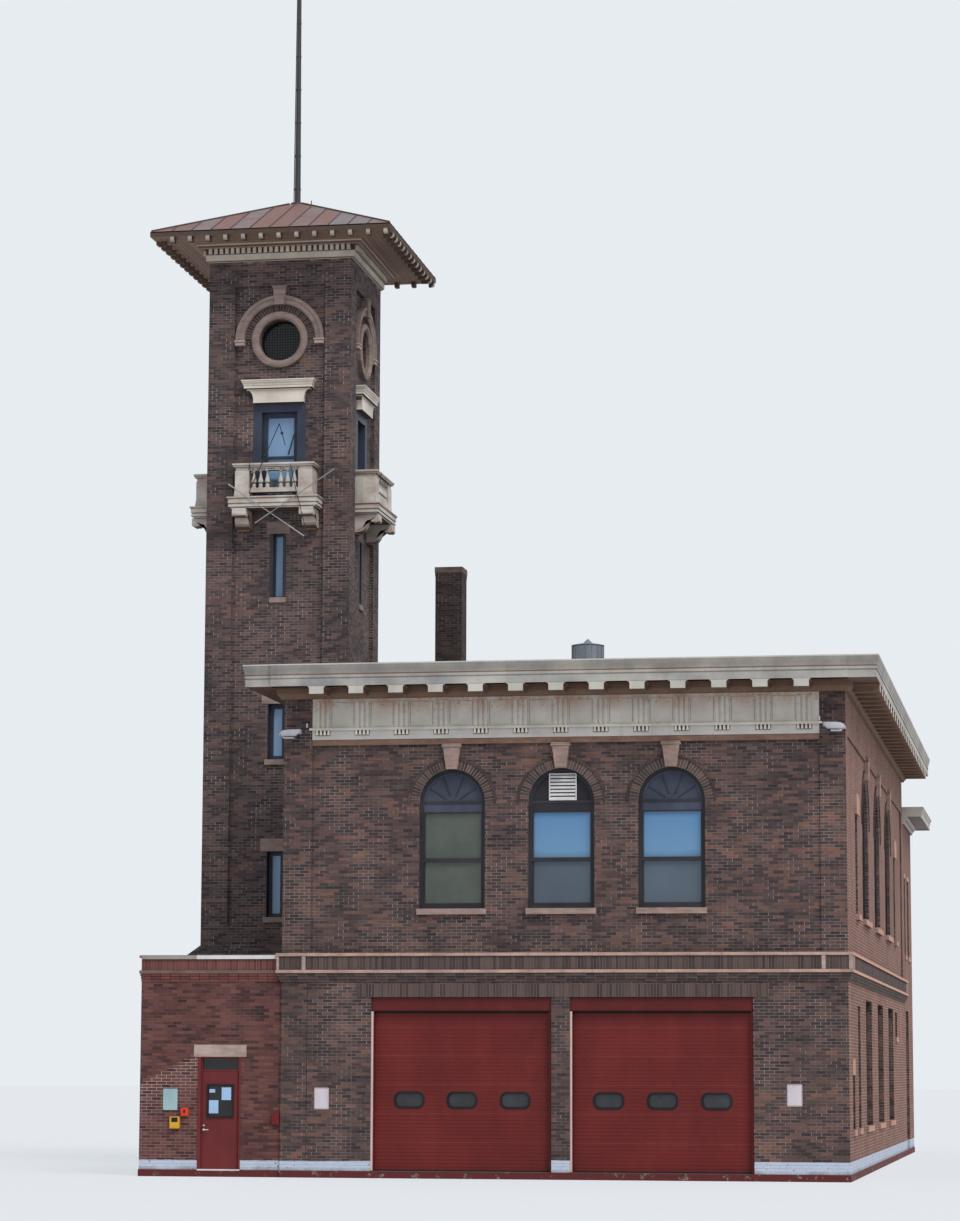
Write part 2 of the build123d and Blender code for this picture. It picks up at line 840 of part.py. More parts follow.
# Stone band and metal coping of the annex
with BuildPart() as annex_coping:
    left_out = annex_left_x - coping_out
    front_out = annex_front_y - coping_out
    right_end = -half - belt_out
    coping_top = annex_top + coping_height
    block(left_out, right_end, front_out, annex_front_y, belt_low_stone, floor_bottom)
    block(left_out, annex_left_x, front_out, base_front_y, belt_low_stone, floor_bottom)
    block(left_out, right_end, front_out, annex_inner_y, annex_top, coping_top)
    block(left_out, annex_inner_x, front_out, base_front_y, annex_top, coping_top)
finish(annex_coping.part, "annex_coping")

# Frame of the man door: jambs, head, transom bar and the fixed halves of the hinges
with BuildPart() as man_door_frame:
    frame_back_y = frame_face_y + man_frame_depth
    block(frame_left_x, frame_right_x, frame_face_y, frame_back_y, sill_level, frame_head)
    block(frame_left_x + man_frame_width, hinge_x, frame_face_y, frame_back_y, sill_level,
          frame_head - man_frame_width, Mode.SUBTRACT)
    block(frame_left_x + man_frame_width, hinge_x, frame_face_y, frame_back_y, transom_bar_bottom,
          transom_bar_bottom + transom_bar_height)
    for level in hinge_levels:
        for low in (level, level + 2 * knuckle):
            with Locations((hinge_x, hinge_y, low + knuckle / 2)):
                Cylinder(hinge_radius, knuckle)
            block(hinge_x, hinge_x + hinge_leaf, frame_face_y - hinge_plate, frame_face_y, low, low + knuckle)
finish(man_door_frame.part, "man_door_frame")

# Leaf of the man door, with its window opening and the moving halves of the hinges
with BuildPart() as man_door_leaf:
    block(leaf_left_x, leaf_right_x, frame_face_y, frame_face_y + leaf_thickness, leaf_foot, leaf_top)
    block(leaf_window_left, leaf_window_right, frame_face_y, frame_face_y + leaf_thickness,
          leaf_window_bottom, leaf_window_top, Mode.SUBTRACT)
    for level in hinge_levels:
        low = level + knuckle + hinge_end_gap
        high = level + 2 * knuckle - hinge_end_gap
        with Locations((hinge_x, hinge_y, (low + high) / 2)):
            Cylinder(hinge_radius, high - low)
        leaf_edge = hinge_x - leaf_gap / 2
        block(hinge_x - hinge_leaf, leaf_edge, frame_face_y - hinge_plate, frame_face_y, low, high)
finish(man_door_leaf.part, "man_door_leaf")

# Glass of the man door
with BuildPart() as man_door_glass:
    glass_y = frame_face_y + (leaf_thickness - pane_thickness) / 2
    glass_back = glass_y + pane_thickness
    block(leaf_window_left, leaf_window_right, glass_y, glass_back, leaf_window_bottom, leaf_window_top)
finish(man_door_glass.part, "man_door_glass")

# Pull handle of the man door on its plate
with BuildPart() as man_door_handle:
    handle_x = leaf_left_x + handle_inset
    plate_y = frame_face_y - handle_plate
    grip_y = plate_y - handle_reach
    plate_foot = handle_level - handle_height / 2
    grip_foot = handle_level - grip_height / 2
    grip_top = handle_level + grip_height / 2
    block(handle_x - handle_plate_width / 2, handle_x + handle_plate_width / 2, plate_y, frame_face_y,
          plate_foot, plate_foot + handle_height)
    with BuildLine() as grip:
        Polyline(
            (handle_x, plate_y, grip_foot),
            (handle_x, grip_y, grip_foot),
            (handle_x, grip_y, grip_top),
            (handle_x, plate_y, grip_top),
        )
    with BuildSketch(Plane(origin=grip.line @ 0, z_dir=grip.line % 0)) as section:
        Circle(handle_radius)
    sweep(section.sketch, path=grip.line, transition=Transition.RIGHT)
finish(man_door_handle.part, "man_door_handle")

# Fixed glass of the transom over the man door
with BuildPart() as man_door_transom:
    glass_y = frame_face_y + (man_frame_depth - pane_thickness) / 2
    block(frame_left_x + man_frame_width, hinge_x, glass_y, glass_y + pane_thickness,
          transom_bar_bottom + transom_bar_height, frame_head - man_frame_width)
finish(man_door_transom.part, "man_door_transom")

# Foot of the tower: a wider base with a sloped top, hollow inside
with BuildPart() as tower_base:
    block(base_left_x, tower_right_x, base_front_y, base_back_y, sill_level, tower_base_top)
    with BuildSketch(Plane.XY.offset(tower_base_top)) as slope_foot:
        with Locations(((base_left_x + tower_right_x) / 2, tower_y)):
            Rectangle(tower_right_x - base_left_x, base_back_y - base_front_y)
    with BuildSketch(Plane.XY.offset(shaft_bottom)) as slope_top:
        with Locations((tower_x, tower_y)):
            Rectangle(tower_width, tower_width)
    loft([slope_foot.sketch, slope_top.sketch])
    block(*tower_inside, sill_level, shaft_bottom, Mode.SUBTRACT)
finish(tower_base.part, "tower_base")


def tower_openings(plane, slit_rows, panel_foot=panel_bottom):
    """Recessed panel and the openings of one tower wall, on a plane centred on it."""
    prism(plane, 0, panel_foot, panel_width, panel_top - panel_foot, -panel_recess, mode=Mode.SUBTRACT)
    disc(plane, 0, oculus_level, oculus_radius, -tower_wall, Mode.SUBTRACT)
    prism(plane, 0, tower_floor_level, tower_door_width, tower_door_height, -tower_wall, mode=Mode.SUBTRACT)
    for sill, height, width, _ in slit_rows:
        prism(plane, 0, sill, width, height, -tower_wall, mode=Mode.SUBTRACT)


def tower_trim(plane, slit_rows):
    """Stone around the openings of one tower wall, standing on its recessed panel."""
    panel = plane.offset(-panel_recess)
    with BuildSketch(panel) as oculus_ring:
        with Locations((0, oculus_level)):
            Circle(oculus_radius + oculus_ring_width)
            Circle(oculus_radius, mode=Mode.SUBTRACT)
    extrude(oculus_ring.sketch, amount=oculus_ring_out + panel_recess)
    with BuildSketch(panel) as hood:
        with Locations((0, oculus_level)):
            Circle(hood_inner + hood_width)
            Circle(hood_inner, mode=Mode.SUBTRACT)
        with Locations((0, oculus_level - 2 * hood_inner)):
            Rectangle(4 * hood_inner, 4 * hood_inner, mode=Mode.SUBTRACT)
    extrude(hood.sketch, amount=hood_out + panel_recess)
    key_foot = oculus_level + hood_inner
    prism(panel, 0, key_foot, hood_key_width, hood_key_height, hood_key_out + panel_recess)
    cap_foot = tower_door_top + hood_block_height
    prism(panel, 0, tower_door_top, hood_block_width, hood_block_height, hood_block_out + panel_recess)
    prism(panel, 0, cap_foot, hood_cap_width, hood_cap_height, hood_cap_out + panel_recess)
    for sill, height, width, _ in slit_rows:
        prism(panel, 0, sill + height, width + 2 * slit_lintel_side, slit_lintel_height, lintel_out)
        prism(panel, 0, sill - slit_sill_height, width + 2 * slit_sill_side, slit_sill_height, sill_out)


def tower_fittings(plane, slit_rows):
    """Frames in the openings of one tower wall."""
    face = plane.offset(-panel_recess)
    inner_width = tower_door_width - 2 * tower_frame_border
    inner_height = tower_door_height - tower_frame_border
    prism(face, 0, tower_floor_level, tower_door_width, tower_door_height, -tower_frame_depth)
    prism(face, 0, tower_floor_level, inner_width, inner_height, -tower_frame_depth, mode=Mode.SUBTRACT)
    sash = face.offset(-tower_frame_depth)
    sash_foot = tower_floor_level + tower_sash_border
    sash_width = inner_width - 2 * tower_sash_border
    sash_height = inner_height - 2 * tower_sash_border
    rail_foot = tower_floor_level + meeting_rail
    prism(sash, 0, tower_floor_level, tower_door_width, tower_door_height, -tower_sash_depth)
    prism(sash, 0, sash_foot, sash_width, sash_height, -tower_sash_depth, mode=Mode.SUBTRACT)
    prism(sash, 0, rail_foot, sash_width + bar_width, bar_width, -tower_sash_depth)
    for sill, height, width, border in slit_rows:
        inner_foot = sill + border
        inner_width = width - 2 * border
        inner_height = height - 2 * border
        prism(sash, 0, sill, width, height, -tower_sash_depth)
        prism(sash, 0, inner_foot, inner_width, inner_height, -tower_sash_depth, mode=Mode.SUBTRACT)


def tower_panes(plane, slit_rows):
    """Glass behind the frames and in the round opening of one tower wall."""
    back = plane.offset(-panel_recess - tower_frame_depth - tower_sash_depth)
    prism(back, 0, tower_floor_level, tower_door_width, tower_door_height, -glass_thickness)
    for sill, height, width, _ in slit_rows:
        prism(back, 0, sill, width, height, -glass_thickness)
    disc(back, 0, oculus_level, oculus_radius, -glass_thickness)


front_tower_plane, left_tower_plane, right_tower_plane, back_tower_plane = tower_planes
slits_over_roof = slits[:1]

# Front and back walls of the tower shaft, as wide as the shaft
with BuildPart() as tower_front_wall:
    block(tower_left_x, tower_right_x, tower_front_y, tower_front_y + tower_wall, shaft_bottom, tower_top)
    tower_openings(front_tower_plane, slits)
finish(tower_front_wall.part, "tower_front_wall")

with BuildPart() as tower_back_wall:
    block(tower_left_x, tower_right_x, tower_back_y - tower_wall, tower_back_y, shaft_bottom, tower_top)
    tower_openings(back_tower_plane, slits)
finish(tower_back_wall.part, "tower_back_wall")

# Side walls of the tower shaft, between the front and back walls
with BuildPart() as tower_side_walls:
    front, back = tower_inside[2:]
    block(tower_left_x, tower_left_x + tower_wall, front, back, shaft_bottom, tower_top)
    tower_openings(left_tower_plane, slits)
    block(tower_right_x - tower_wall, tower_right_x, front, back, shaft_bottom, tower_top)
    tower_openings(right_tower_plane, slits_over_roof, cornice_top)
finish(tower_side_walls.part, "tower_side_walls")

tower_rows = (
    (front_tower_plane, slits),
    (left_tower_plane, slits),
    (right_tower_plane, slits_over_roof),
    (back_tower_plane, slits),
)

# Stone rings, hoods, lintels and sills of the tower
with BuildPart() as tower_stone_trim:
    for plane, slit_rows in tower_rows:
        tower_trim(plane, slit_rows)
finish(tower_stone_trim.part, "tower_stone_trim")

# Frames of the tower's balcony doors and slit windows
with BuildPart() as tower_window_frames:
    for plane, slit_rows in tower_rows:
        tower_fittings(plane, slit_rows)
finish(tower_window_frames.part, "tower_window_frames")

# Glass of the tower
with BuildPart() as tower_glass:
    for plane, slit_rows in tower_rows:
        tower_panes(plane, slit_rows)
finish(tower_glass.part, "tower_glass")

# Floor of the tower at the balconies
with BuildPart() as tower_floor:
    block(*tower_inside, tower_floor_level - tower_floor_thickness, tower_floor_level)
finish(tower_floor.part, "tower_floor")

# Turned baluster, standing on its foot at the origin
cap_bottom = balcony_top - cap_rail_height
rail_bottom = cap_bottom - neck_rail_height
bottom_rail_foot = tower_floor_level + bottom_rail_gap
baluster_foot = bottom_rail_foot + bottom_rail_height
baluster_height = rail_bottom - baluster_foot
with BuildPart() as baluster:
    belly_level = baluster_height * baluster_belly_share
    Cone(baluster_neck, baluster_belly, belly_level, align=on_foot)
    with Locations((0, 0, belly_level)):
        Cone(baluster_belly, baluster_neck, baluster_height - belly_level, align=on_foot)


def console(plane, place):
    """Scrolled bracket under a balcony's slab."""
    slab_foot = tower_floor_level - balcony_slab
    console_foot = slab_foot - console_height
    corner = plane.from_local_coords((place - console_width / 2, 0, 0))
    with BuildSketch(Plane(origin=corner, x_dir=plane.z_dir, z_dir=-plane.x_dir)) as side:
        with BuildLine():
            Polyline((console_foot_depth, console_foot), (-panel_recess, console_foot),
                     (-panel_recess, slab_foot), (console_depth, slab_foot),
                     (console_depth, slab_foot - console_nose))
            RadiusArc((console_depth, slab_foot - console_nose), (console_foot_depth, console_foot),
                      -console_height)
        make_face()
    extrude(side.sketch, amount=-console_width)


def balcony(plane, missing):
    """Balcony on one tower wall: slab on two consoles, solid sides, pedestals, rails and balusters."""
    slab_foot = tower_floor_level - balcony_slab
    prism(plane, 0, slab_foot, balcony_width, balcony_slab, balcony_out)
    prism(plane, 0, slab_foot, panel_width, balcony_slab, -panel_recess)
    front_out = balcony_out - balcony_inset
    front = plane.offset(front_out)
    cap_front = plane.offset(front_out + cap_rail_out)
    half_width = balustrade_width / 2
    cap_half = half_width + cap_rail_out
    side_depth = front_out + panel_recess
    for side in (-1, 1):
        console(plane, side * (balcony_width / 2 - console_inset - console_width / 2))
        pedestal_place = side * (half_width - pedestal_width / 2)
        panel_place = side * (half_width - rail_depth / 2)
        cap_place = side * (cap_half - cap_rail_depth / 2)
        prism(front, pedestal_place, tower_floor_level, pedestal_width, cap_bottom - tower_floor_level,
              -pedestal_width)
        prism(front, panel_place, tower_floor_level, rail_depth, cap_bottom - tower_floor_level, -side_depth)
        prism(cap_front, cap_place, cap_bottom, cap_rail_depth, cap_rail_height, -side_depth - cap_rail_out)
    prism(cap_front, 0, cap_bottom, 2 * cap_half, cap_rail_height, -cap_rail_depth)
    prism(front, 0, rail_bottom, balustrade_width - pedestal_width, neck_rail_height, -rail_depth)
    prism(front, 0, bottom_rail_foot, balustrade_width - pedestal_width, bottom_rail_height, -rail_depth)
    for i in range(baluster_count):
        if i + 1 != missing:
            place = (i - (baluster_count - 1) / 2) * baluster_pitch
            foot = plane.from_local_coords((place, baluster_foot, front_out - rail_depth / 2))
            with Locations(foot):
                add(baluster.part)


# Balconies on the four sides; one baluster of the front one is missing
with BuildPart() as balconies:
    balcony(front_tower_plane, missing_baluster)
    balcony(left_tower_plane, None)
    balcony(right_tower_plane, None)
    balcony(back_tower_plane, None)
finish(balconies.part, "balconies")

# Cornice of the tower: a band, a row of dentils and a crown in two steps under the eaves
with BuildPart() as tower_cornice:
    ring(*tower_box, bed_band_out, 0, dentil_bottom - bed_band_height, soffit_z)
    ring(*tower_box, crown_foot_out, 0, dentil_bottom + dentil_height, soffit_z)
    ring(*tower_box, crown_out, 0, soffit_z - crown_step, soffit_z)
    dentil_count = int((tower_width + 2 * bed_band_out) // dentil_pitch)
    for plane in tower_planes:
        with BuildSketch(plane.offset(bed_band_out)) as dentils:
            with Locations((0, dentil_bottom + dentil_height / 2)):
                with GridLocations(dentil_pitch, dentil_height, dentil_count, 1):
                    Rectangle(dentil_width, dentil_height)
        extrude(dentils.sketch, amount=dentil_out - bed_band_out)
finish(tower_cornice.part, "tower_cornice")

# Hipped roof of the tower with flat soffits
eave_half = tower_width / 2 + eave_out
with BuildPart() as tower_roof:
    block(tower_x - eave_half, tower_x + eave_half, tower_y - eave_half, tower_y + eave_half,
          soffit_z, eave_level)
    with BuildSketch(Plane.XY.offset(eave_level)) as hip_foot:
        with Locations((tower_x, tower_y)):
            Rectangle(2 * eave_half, 2 * eave_half)
    with BuildSketch(Plane.XY.offset(apex_level)) as hip_top:
        with Locations((tower_x, tower_y)):
            Rectangle(2 * mast_flange_radius, 2 * mast_flange_radius)
    loft([hip_foot.sketch, hip_top.sketch])
    with BuildSketch(Plane.XY.offset(eave_level)) as attic_foot:
        with Locations((tower_x, tower_y)):
            Rectangle(2 * inner, 2 * inner)
    with BuildSketch(Plane.XY.offset(attic_top)) as attic_peak:
        with Locations((tower_x, tower_y)):
            Rectangle(2 * mast_radius, 2 * mast_radius)
    loft([attic_foot.sketch, attic_peak.sketch], mode=Mode.SUBTRACT)
    block(*tower_inside, soffit_z, eave_level, Mode.SUBTRACT)
finish(tower_roof.part, "tower_roof")

# Rafter tails under the eaves
with BuildPart() as tower_rafters:
    far = eave_half - rafter_end_gap
    near = far - rafter_tail
    for plane in tower_planes:
        with BuildSketch(plane.offset(near - tower_width / 2)) as tails:
            with Locations((0, soffit_z - rafter_height / 2)):
                with GridLocations(rafter_pitch, rafter_height, rafter_count, 1):
                    Rectangle(rafter_width, rafter_height)
        extrude(tails.sketch, amount=far - near)
finish(tower_rafters.part, "tower_rafters")

# Mast on the peak of the tower roof
with BuildPart() as mast:
    with Locations((tower_x, tower_y, apex_level)):
        Cylinder(mast_flange_radius, mast_flange_height, align=on_foot)
        Cone(mast_radius, mast_tip_radius, mast_top - apex_level, align=on_foot)
finish(mast.part, "mast")

# Brick chimney on the main roof, against the left wall
chimney_left = -half + wall
chimney_right = chimney_left + chimney_width
chimney_back = chimney_y + chimney_width
deck_top = soffit_level + roof_thickness
chimney_box = (chimney_left, chimney_right, chimney_y, chimney_back)
with BuildPart() as chimney:
    block(*chimney_box, deck_top, chimney_top)
    ring(*chimney_box, chimney_cap_out, 0, chimney_top - chimney_cap_height, chimney_top)
    edge = (chimney_width - chimney_flue) / 2
    block(chimney_left + edge, chimney_right - edge, chimney_y + edge, chimney_back - edge,
          deck_top, chimney_top, Mode.SUBTRACT)
finish(chimney.part, "chimney")

# Round roof vent: a drum with a low lid and a small cone
with BuildPart() as roof_vent:
    with Locations((vent_x, vent_y, deck_top)):
        shaft_height = vent_shaft_top - deck_top
        Cylinder(vent_radius, shaft_height, align=on_foot)
        Cylinder(vent_radius - vent_wall, shaft_height, align=on_foot, mode=Mode.SUBTRACT)
    with Locations((vent_x, vent_y, vent_shaft_top)):
        Cone(vent_radius + vent_wall, vent_lid_top_radius, vent_lid_height, align=on_foot)
    with Locations((vent_x, vent_y, vent_shaft_top + vent_lid_height)):
        Cone(vent_lid_top_radius, vent_cap_tip_radius, vent_cap_height, align=on_foot)
finish(roof_vent.part, "roof_vent")

# Two floodlights on arms under the frieze
with BuildPart() as floodlights:
    for x in flood_x:
        block(x - flood_width / 2, x + flood_width / 2, -flood_arm - flood_depth, -flood_arm,
              flood_level - flood_height / 2, flood_level + flood_height / 2)
        disc(front_plane, x, flood_level, flood_arm_radius, flood_arm)
        plate_foot = flood_level - flood_back_plate / 2
        prism(front_plane, x, plate_foot, flood_back_plate, flood_back_plate, flood_plate_thickness)
finish(floodlights.part, "floodlights")

# Bare sign plates on the front
with BuildPart() as sign_plates:
    for x, level in sign_places:
        prism(front_plane, x, level, sign_width, sign_height, sign_thickness)
    plate_foot = annex_sign_level - sign_height / 2
    prism(annex_front_plane, annex_sign_x, plate_foot, sign_width, sign_height, sign_thickness)
finish(sign_plates.part, "sign_plates")

# Two small boxes and the alarm housing on the annex wall
with BuildPart() as wall_boxes:
    for x, level, width, height in box_places:
        prism(annex_front_plane, x, level - height / 2, width, height, box_depth)
finish(wall_boxes.part, "wall_boxes")
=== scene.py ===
import math
import random
from collections import namedtuple

import bmesh
import bpy
from mathutils import Matrix, Vector


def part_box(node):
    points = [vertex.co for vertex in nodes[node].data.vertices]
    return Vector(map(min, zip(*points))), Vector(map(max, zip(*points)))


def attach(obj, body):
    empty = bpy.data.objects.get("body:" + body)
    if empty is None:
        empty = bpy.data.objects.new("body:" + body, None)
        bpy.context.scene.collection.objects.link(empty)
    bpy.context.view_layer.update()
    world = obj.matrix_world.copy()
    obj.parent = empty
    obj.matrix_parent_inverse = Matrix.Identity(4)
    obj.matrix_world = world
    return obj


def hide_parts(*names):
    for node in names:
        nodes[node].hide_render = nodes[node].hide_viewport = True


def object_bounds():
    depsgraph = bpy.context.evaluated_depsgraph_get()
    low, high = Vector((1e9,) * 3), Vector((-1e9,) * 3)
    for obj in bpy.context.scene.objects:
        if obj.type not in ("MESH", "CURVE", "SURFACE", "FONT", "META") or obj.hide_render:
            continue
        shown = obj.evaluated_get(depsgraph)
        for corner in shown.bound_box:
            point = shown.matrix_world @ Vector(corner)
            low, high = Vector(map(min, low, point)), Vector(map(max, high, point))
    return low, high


# Fire station with a corner tower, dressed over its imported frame, in metres.
# X runs to the right along the street front, Y runs back into the building, Z is up.

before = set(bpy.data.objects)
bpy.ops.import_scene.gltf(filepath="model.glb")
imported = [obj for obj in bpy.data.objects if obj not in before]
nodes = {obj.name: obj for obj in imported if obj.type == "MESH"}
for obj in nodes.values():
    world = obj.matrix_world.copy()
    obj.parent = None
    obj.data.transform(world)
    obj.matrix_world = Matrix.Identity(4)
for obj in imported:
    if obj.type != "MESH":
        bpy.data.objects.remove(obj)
cad_low, cad_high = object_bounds()
chance = random.Random(7)

# Places read from the frame
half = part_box("front_wall_upper")[1].x
back_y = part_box("rear_back_wall")[1].y
main_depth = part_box("main_rear_wall")[1].y
sill_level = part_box("foundation")[1].z
annex_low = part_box("annex_front_piers")[0]
annex_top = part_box("annex_wall_over_door")[1].z
base_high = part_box("tower_base")[1]
base_front_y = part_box("tower_base")[0].y
tower_low, tower_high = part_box("tower_front_wall")
tower_half = (tower_high.x - tower_low.x) / 2
tower_x = tower_low.x + tower_half
tower_y = tower_low.y + tower_half
tower_back_y = tower_y + tower_half
cornice_low, cornice_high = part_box("main_cornice")
frieze_low, frieze_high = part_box("frieze")
belt_low, belt_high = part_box("belt_course")
belt_out = belt_high.x - half
rear_cornice_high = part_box("rear_cornice")[1]
eave_low, eave_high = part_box("tower_roof")
eave_half = (eave_high.x - eave_low.x) / 2
tower_cornice_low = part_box("tower_cornice")[0]
balcony_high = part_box("balconies")[1]

# Bricks
course = 0.0677
brick_length = 0.216
joint = 0.011

# Windows
window_setback = 0.15
frame_border = 0.075
upper_sill = 5.725
ground_sill = 1.06
rear_sill = 5.51
meeting_rail = 1.04
ground_rail = 1.75
arch_ring = 0.20
front_window = (1.43, 3.0)
side_window = (2.2, 3.23)
front_places = [i * 2.377 for i in (-1, 0, 1)]
side_places = [main_depth / 2 + i * 4.6 for i in (-1, 0, 1)]

# Main cornice and belt course
bay = 0.871
bays = [i * bay for i in range(-6, 7)]
soffit_board = 10.5
corona_out = 0.742
corona_top = 10.65
top_foot = 10.76
cornice_break = 0.03
stone_band = 0.07
corbel = 0.06
field_recess = 0.05
side_recess = 0.04

# Garage doors
door_spans = ((-4.12, -0.205), (0.19, 4.098))
door_head = 3.838
header_foot = 3.545
door_face = -0.19
porthole_level = 1.655
porthole_pitch = 1.15
section = 0.61

# Man door
door_window = (-7.712, -7.178, 1.285, 1.945)
handle_place = (-7.80, 1.0)

# Tower
panel_recess = 0.09
oculus_level = 19.767
oculus_radius = 0.51
oculus_ring = 0.18
hood_inner = 0.87
hood_outer = 1.09
tower_floor = 15.85
tower_door_top = 18.215
roof_edge = 0.12
slits = ((13.49, 1.543, 0.28), (9.6, 1.33, 0.42), (5.86, 1.556, 0.40))


def add_object(name, data):
    """New object of the scene."""
    thing = bpy.data.objects.new(name, data)
    bpy.context.scene.collection.objects.link(thing)
    return thing


def colour(red, green, blue):
    """Linear colour of a screen colour given from 0 to 255."""
    def linear(value):
        value /= 255
        return value / 12.92 if value <= 0.04045 else ((value + 0.055) / 1.055) ** 2.4
    return (linear(red), linear(green), linear(blue), 1.0)


def grey(value):
    return (value, value, value, 1.0)


def operator(kind):
    """Arithmetic of a field, as a math node."""
    return lambda field, *other: field.look.math(kind, field, *other)


class Field:
    """A value at every point of a surface; what is calculated with it is a node too."""

    def __init__(self, look, socket):
        self.look = look
        self.socket = socket

    __add__ = operator("ADD")
    __sub__ = operator("SUBTRACT")
    __mul__ = operator("MULTIPLY")
    __truediv__ = operator("DIVIDE")
    __mod__ = operator("FLOORED_MODULO")
    __lt__ = operator("LESS_THAN")
    __gt__ = operator("GREATER_THAN")
    __abs__ = operator("ABSOLUTE")
    __floor__ = operator("FLOOR")

    def __radd__(self, other):
        return self.look.math("ADD", other, self)

    def __rsub__(self, other):
        return self.look.math("SUBTRACT", other, self)


class Look:
    """A material in the making: short calls add its nodes, and colours are given from 0 to 255."""

    def __init__(self, name):
        self.material = bpy.data.materials.new(name)
        self.material.use_nodes = True
        self.tree = self.material.node_tree
        self.tree.nodes.clear()
        self.place = self.field("Object", "TexCoord")
        self.x, self.y, self.z = self.split(self.place)
        self.facing_x, self.facing_y, self.facing_z = self.split(self.field("True Normal", "NewGeometry"))

    def add(self, kind, inputs=None, **settings):
        """New node with its inputs and settings."""
        node = self.tree.nodes.new("ShaderNode" + kind)
        for name, value in settings.items():
            setattr(node, name, value)
        for name, value in (inputs or {}).items():
            socket = node.inputs[name]
            if isinstance(value, Field):
                self.tree.links.new(value.socket, socket)
            elif socket.type == "RGBA" and len(value) == 3:
                socket.default_value = colour(*value)
            else:
                socket.default_value = value
        return node

    def field(self, output, kind, inputs=None, **settings):
        """One output of a new node."""
        return Field(self, self.add(kind, inputs, **settings).outputs[output])

    def split(self, vector):
        return [Field(self, socket) for socket in self.add("SeparateXYZ", {0: vector}).outputs]

    def math(self, operation, first, second=0.0, clamp=False):
        return self.field(0, "Math", {0: first, 1: second}, operation=operation, use_clamp=clamp)

    def mix(self, share, first, second, blend="MIX"):
        return self.field(2, "Mix", {0: share, 6: first, 7: second}, data_type="RGBA", blend_type=blend)

    def mix_values(self, share, first, second):
        return self.field(0, "Mix", {0: share, 2: first, 3: second}, data_type="FLOAT")

    def noise(self, scale, detail=4.0, roughness=0.55, stretch=(1, 1, 1)):
        place = self.field(0, "VectorMath", {0: self.place, 1: stretch}, operation="MULTIPLY")
        inputs = {"Vector": place, "Scale": scale, "Detail": detail, "Roughness": roughness}
        return self.field("Fac", "TexNoise", inputs)

    def ramp(self, value, *stops):
        node = self.add("ValToRGB", {"Fac": value})
        marks = node.color_ramp.elements
        while len(marks) < len(stops):
            marks.new(0.5)
        for mark, (position, shade) in zip(marks, stops):
            mark.position = position
            mark.color = shade
        return Field(self, node.outputs["Color"])

    def step(self, value, low, high):
        """0 at `low`, 1 at `high`, and straight between them."""
        return self.field("Result", "MapRange", {"Value": value, "From Min": low, "From Max": high})

    def spots(self, scale, low, high, detail=6.0, roughness=0.7, stretch=(1, 1, 1)):
        """Blotches where a noise passes a level."""
        return self.step(self.noise(scale, detail, roughness, stretch), low, high)

    def clouds(self, scale, first, second, detail=4.0):
        """Two colours that drift into each other."""
        return self.mix(self.noise(scale, detail), first, second)

    def darken(self, shade, share, value, low, high, dark):
        """Shade multiplied down to `dark` where a value is low."""
        return self.mix(share, shade, self.ramp(value, (low, grey(dark)), (high, grey(1.0))), "MULTIPLY")

    def facing_right(self):
        """1 on faces that look to the sunny right side."""
        return self.step(self.facing_x, 0.5, 0.9)

    def wall_place(self):
        """Coordinates along a wall and up it, on any wall of the building."""
        on_side = abs(self.facing_x) > 0.6
        level = abs(self.facing_z) > 0.6
        return self.mix_values(on_side, self.x, self.y), self.mix_values(level, self.z, self.y)

    def bump(self, height, distance, strength=1.0):
        return self.field("Normal", "Bump", {"Height": height, "Distance": distance, "Strength": strength})

    def done(self, shade, roughness, normal=None, metallic=0.0, specular=0.3):
        inputs = {"Base Color": shade, "Roughness": roughness, "Metallic": metallic,
                  "Specular IOR Level": specular}
        if normal:
            inputs["Normal"] = normal
        self.add("OutputMaterial", {"Surface": self.field(0, "BsdfPrincipled", inputs)})
        return self.material


def brick_shades(look, tint, shades):
    """Brick colours from burnt dark ones to orange ones."""
    return look.ramp(tint, *zip((0.0, 0.3, 0.55, 0.8, 1.0), [colour(*shade) for shade in shades]))


def base_paint(look, shade):
    """White band along the foot of the walls, chipped and splashed."""
    band_top = 0.41 - look.step(look.x, -1.0, -5.0) * 0.05
    band = look.step(look.z + look.noise(7.0) * 0.02 - band_top, 0.008, 0.0)
    chips = look.spots(16.0, 0.35, 0.40, 5.0)
    paint = look.clouds(3.0, (176, 188, 206), (206, 216, 232), 5.0)
    splash = look.step(look.z + look.noise(2.6) * 0.16, 0.20, 0.30)
    return look.mix(band * chips, shade, look.mix(splash, (132, 128, 128), paint))


def repair_patch(look, joints):
    """Fresh pale joints below a stepped slope at the left of the annex door."""
    slope = 2.565 + (look.x + 8.0) * 0.52
    row = math.floor(look.z / course) * course
    fade = look.step(slope - look.z, 0.9, 0.0)
    share = (row < slope) * (look.x < -7.88) * (0.3 + fade * 0.7)
    return look.mix(share, joints, (208, 186, 180))


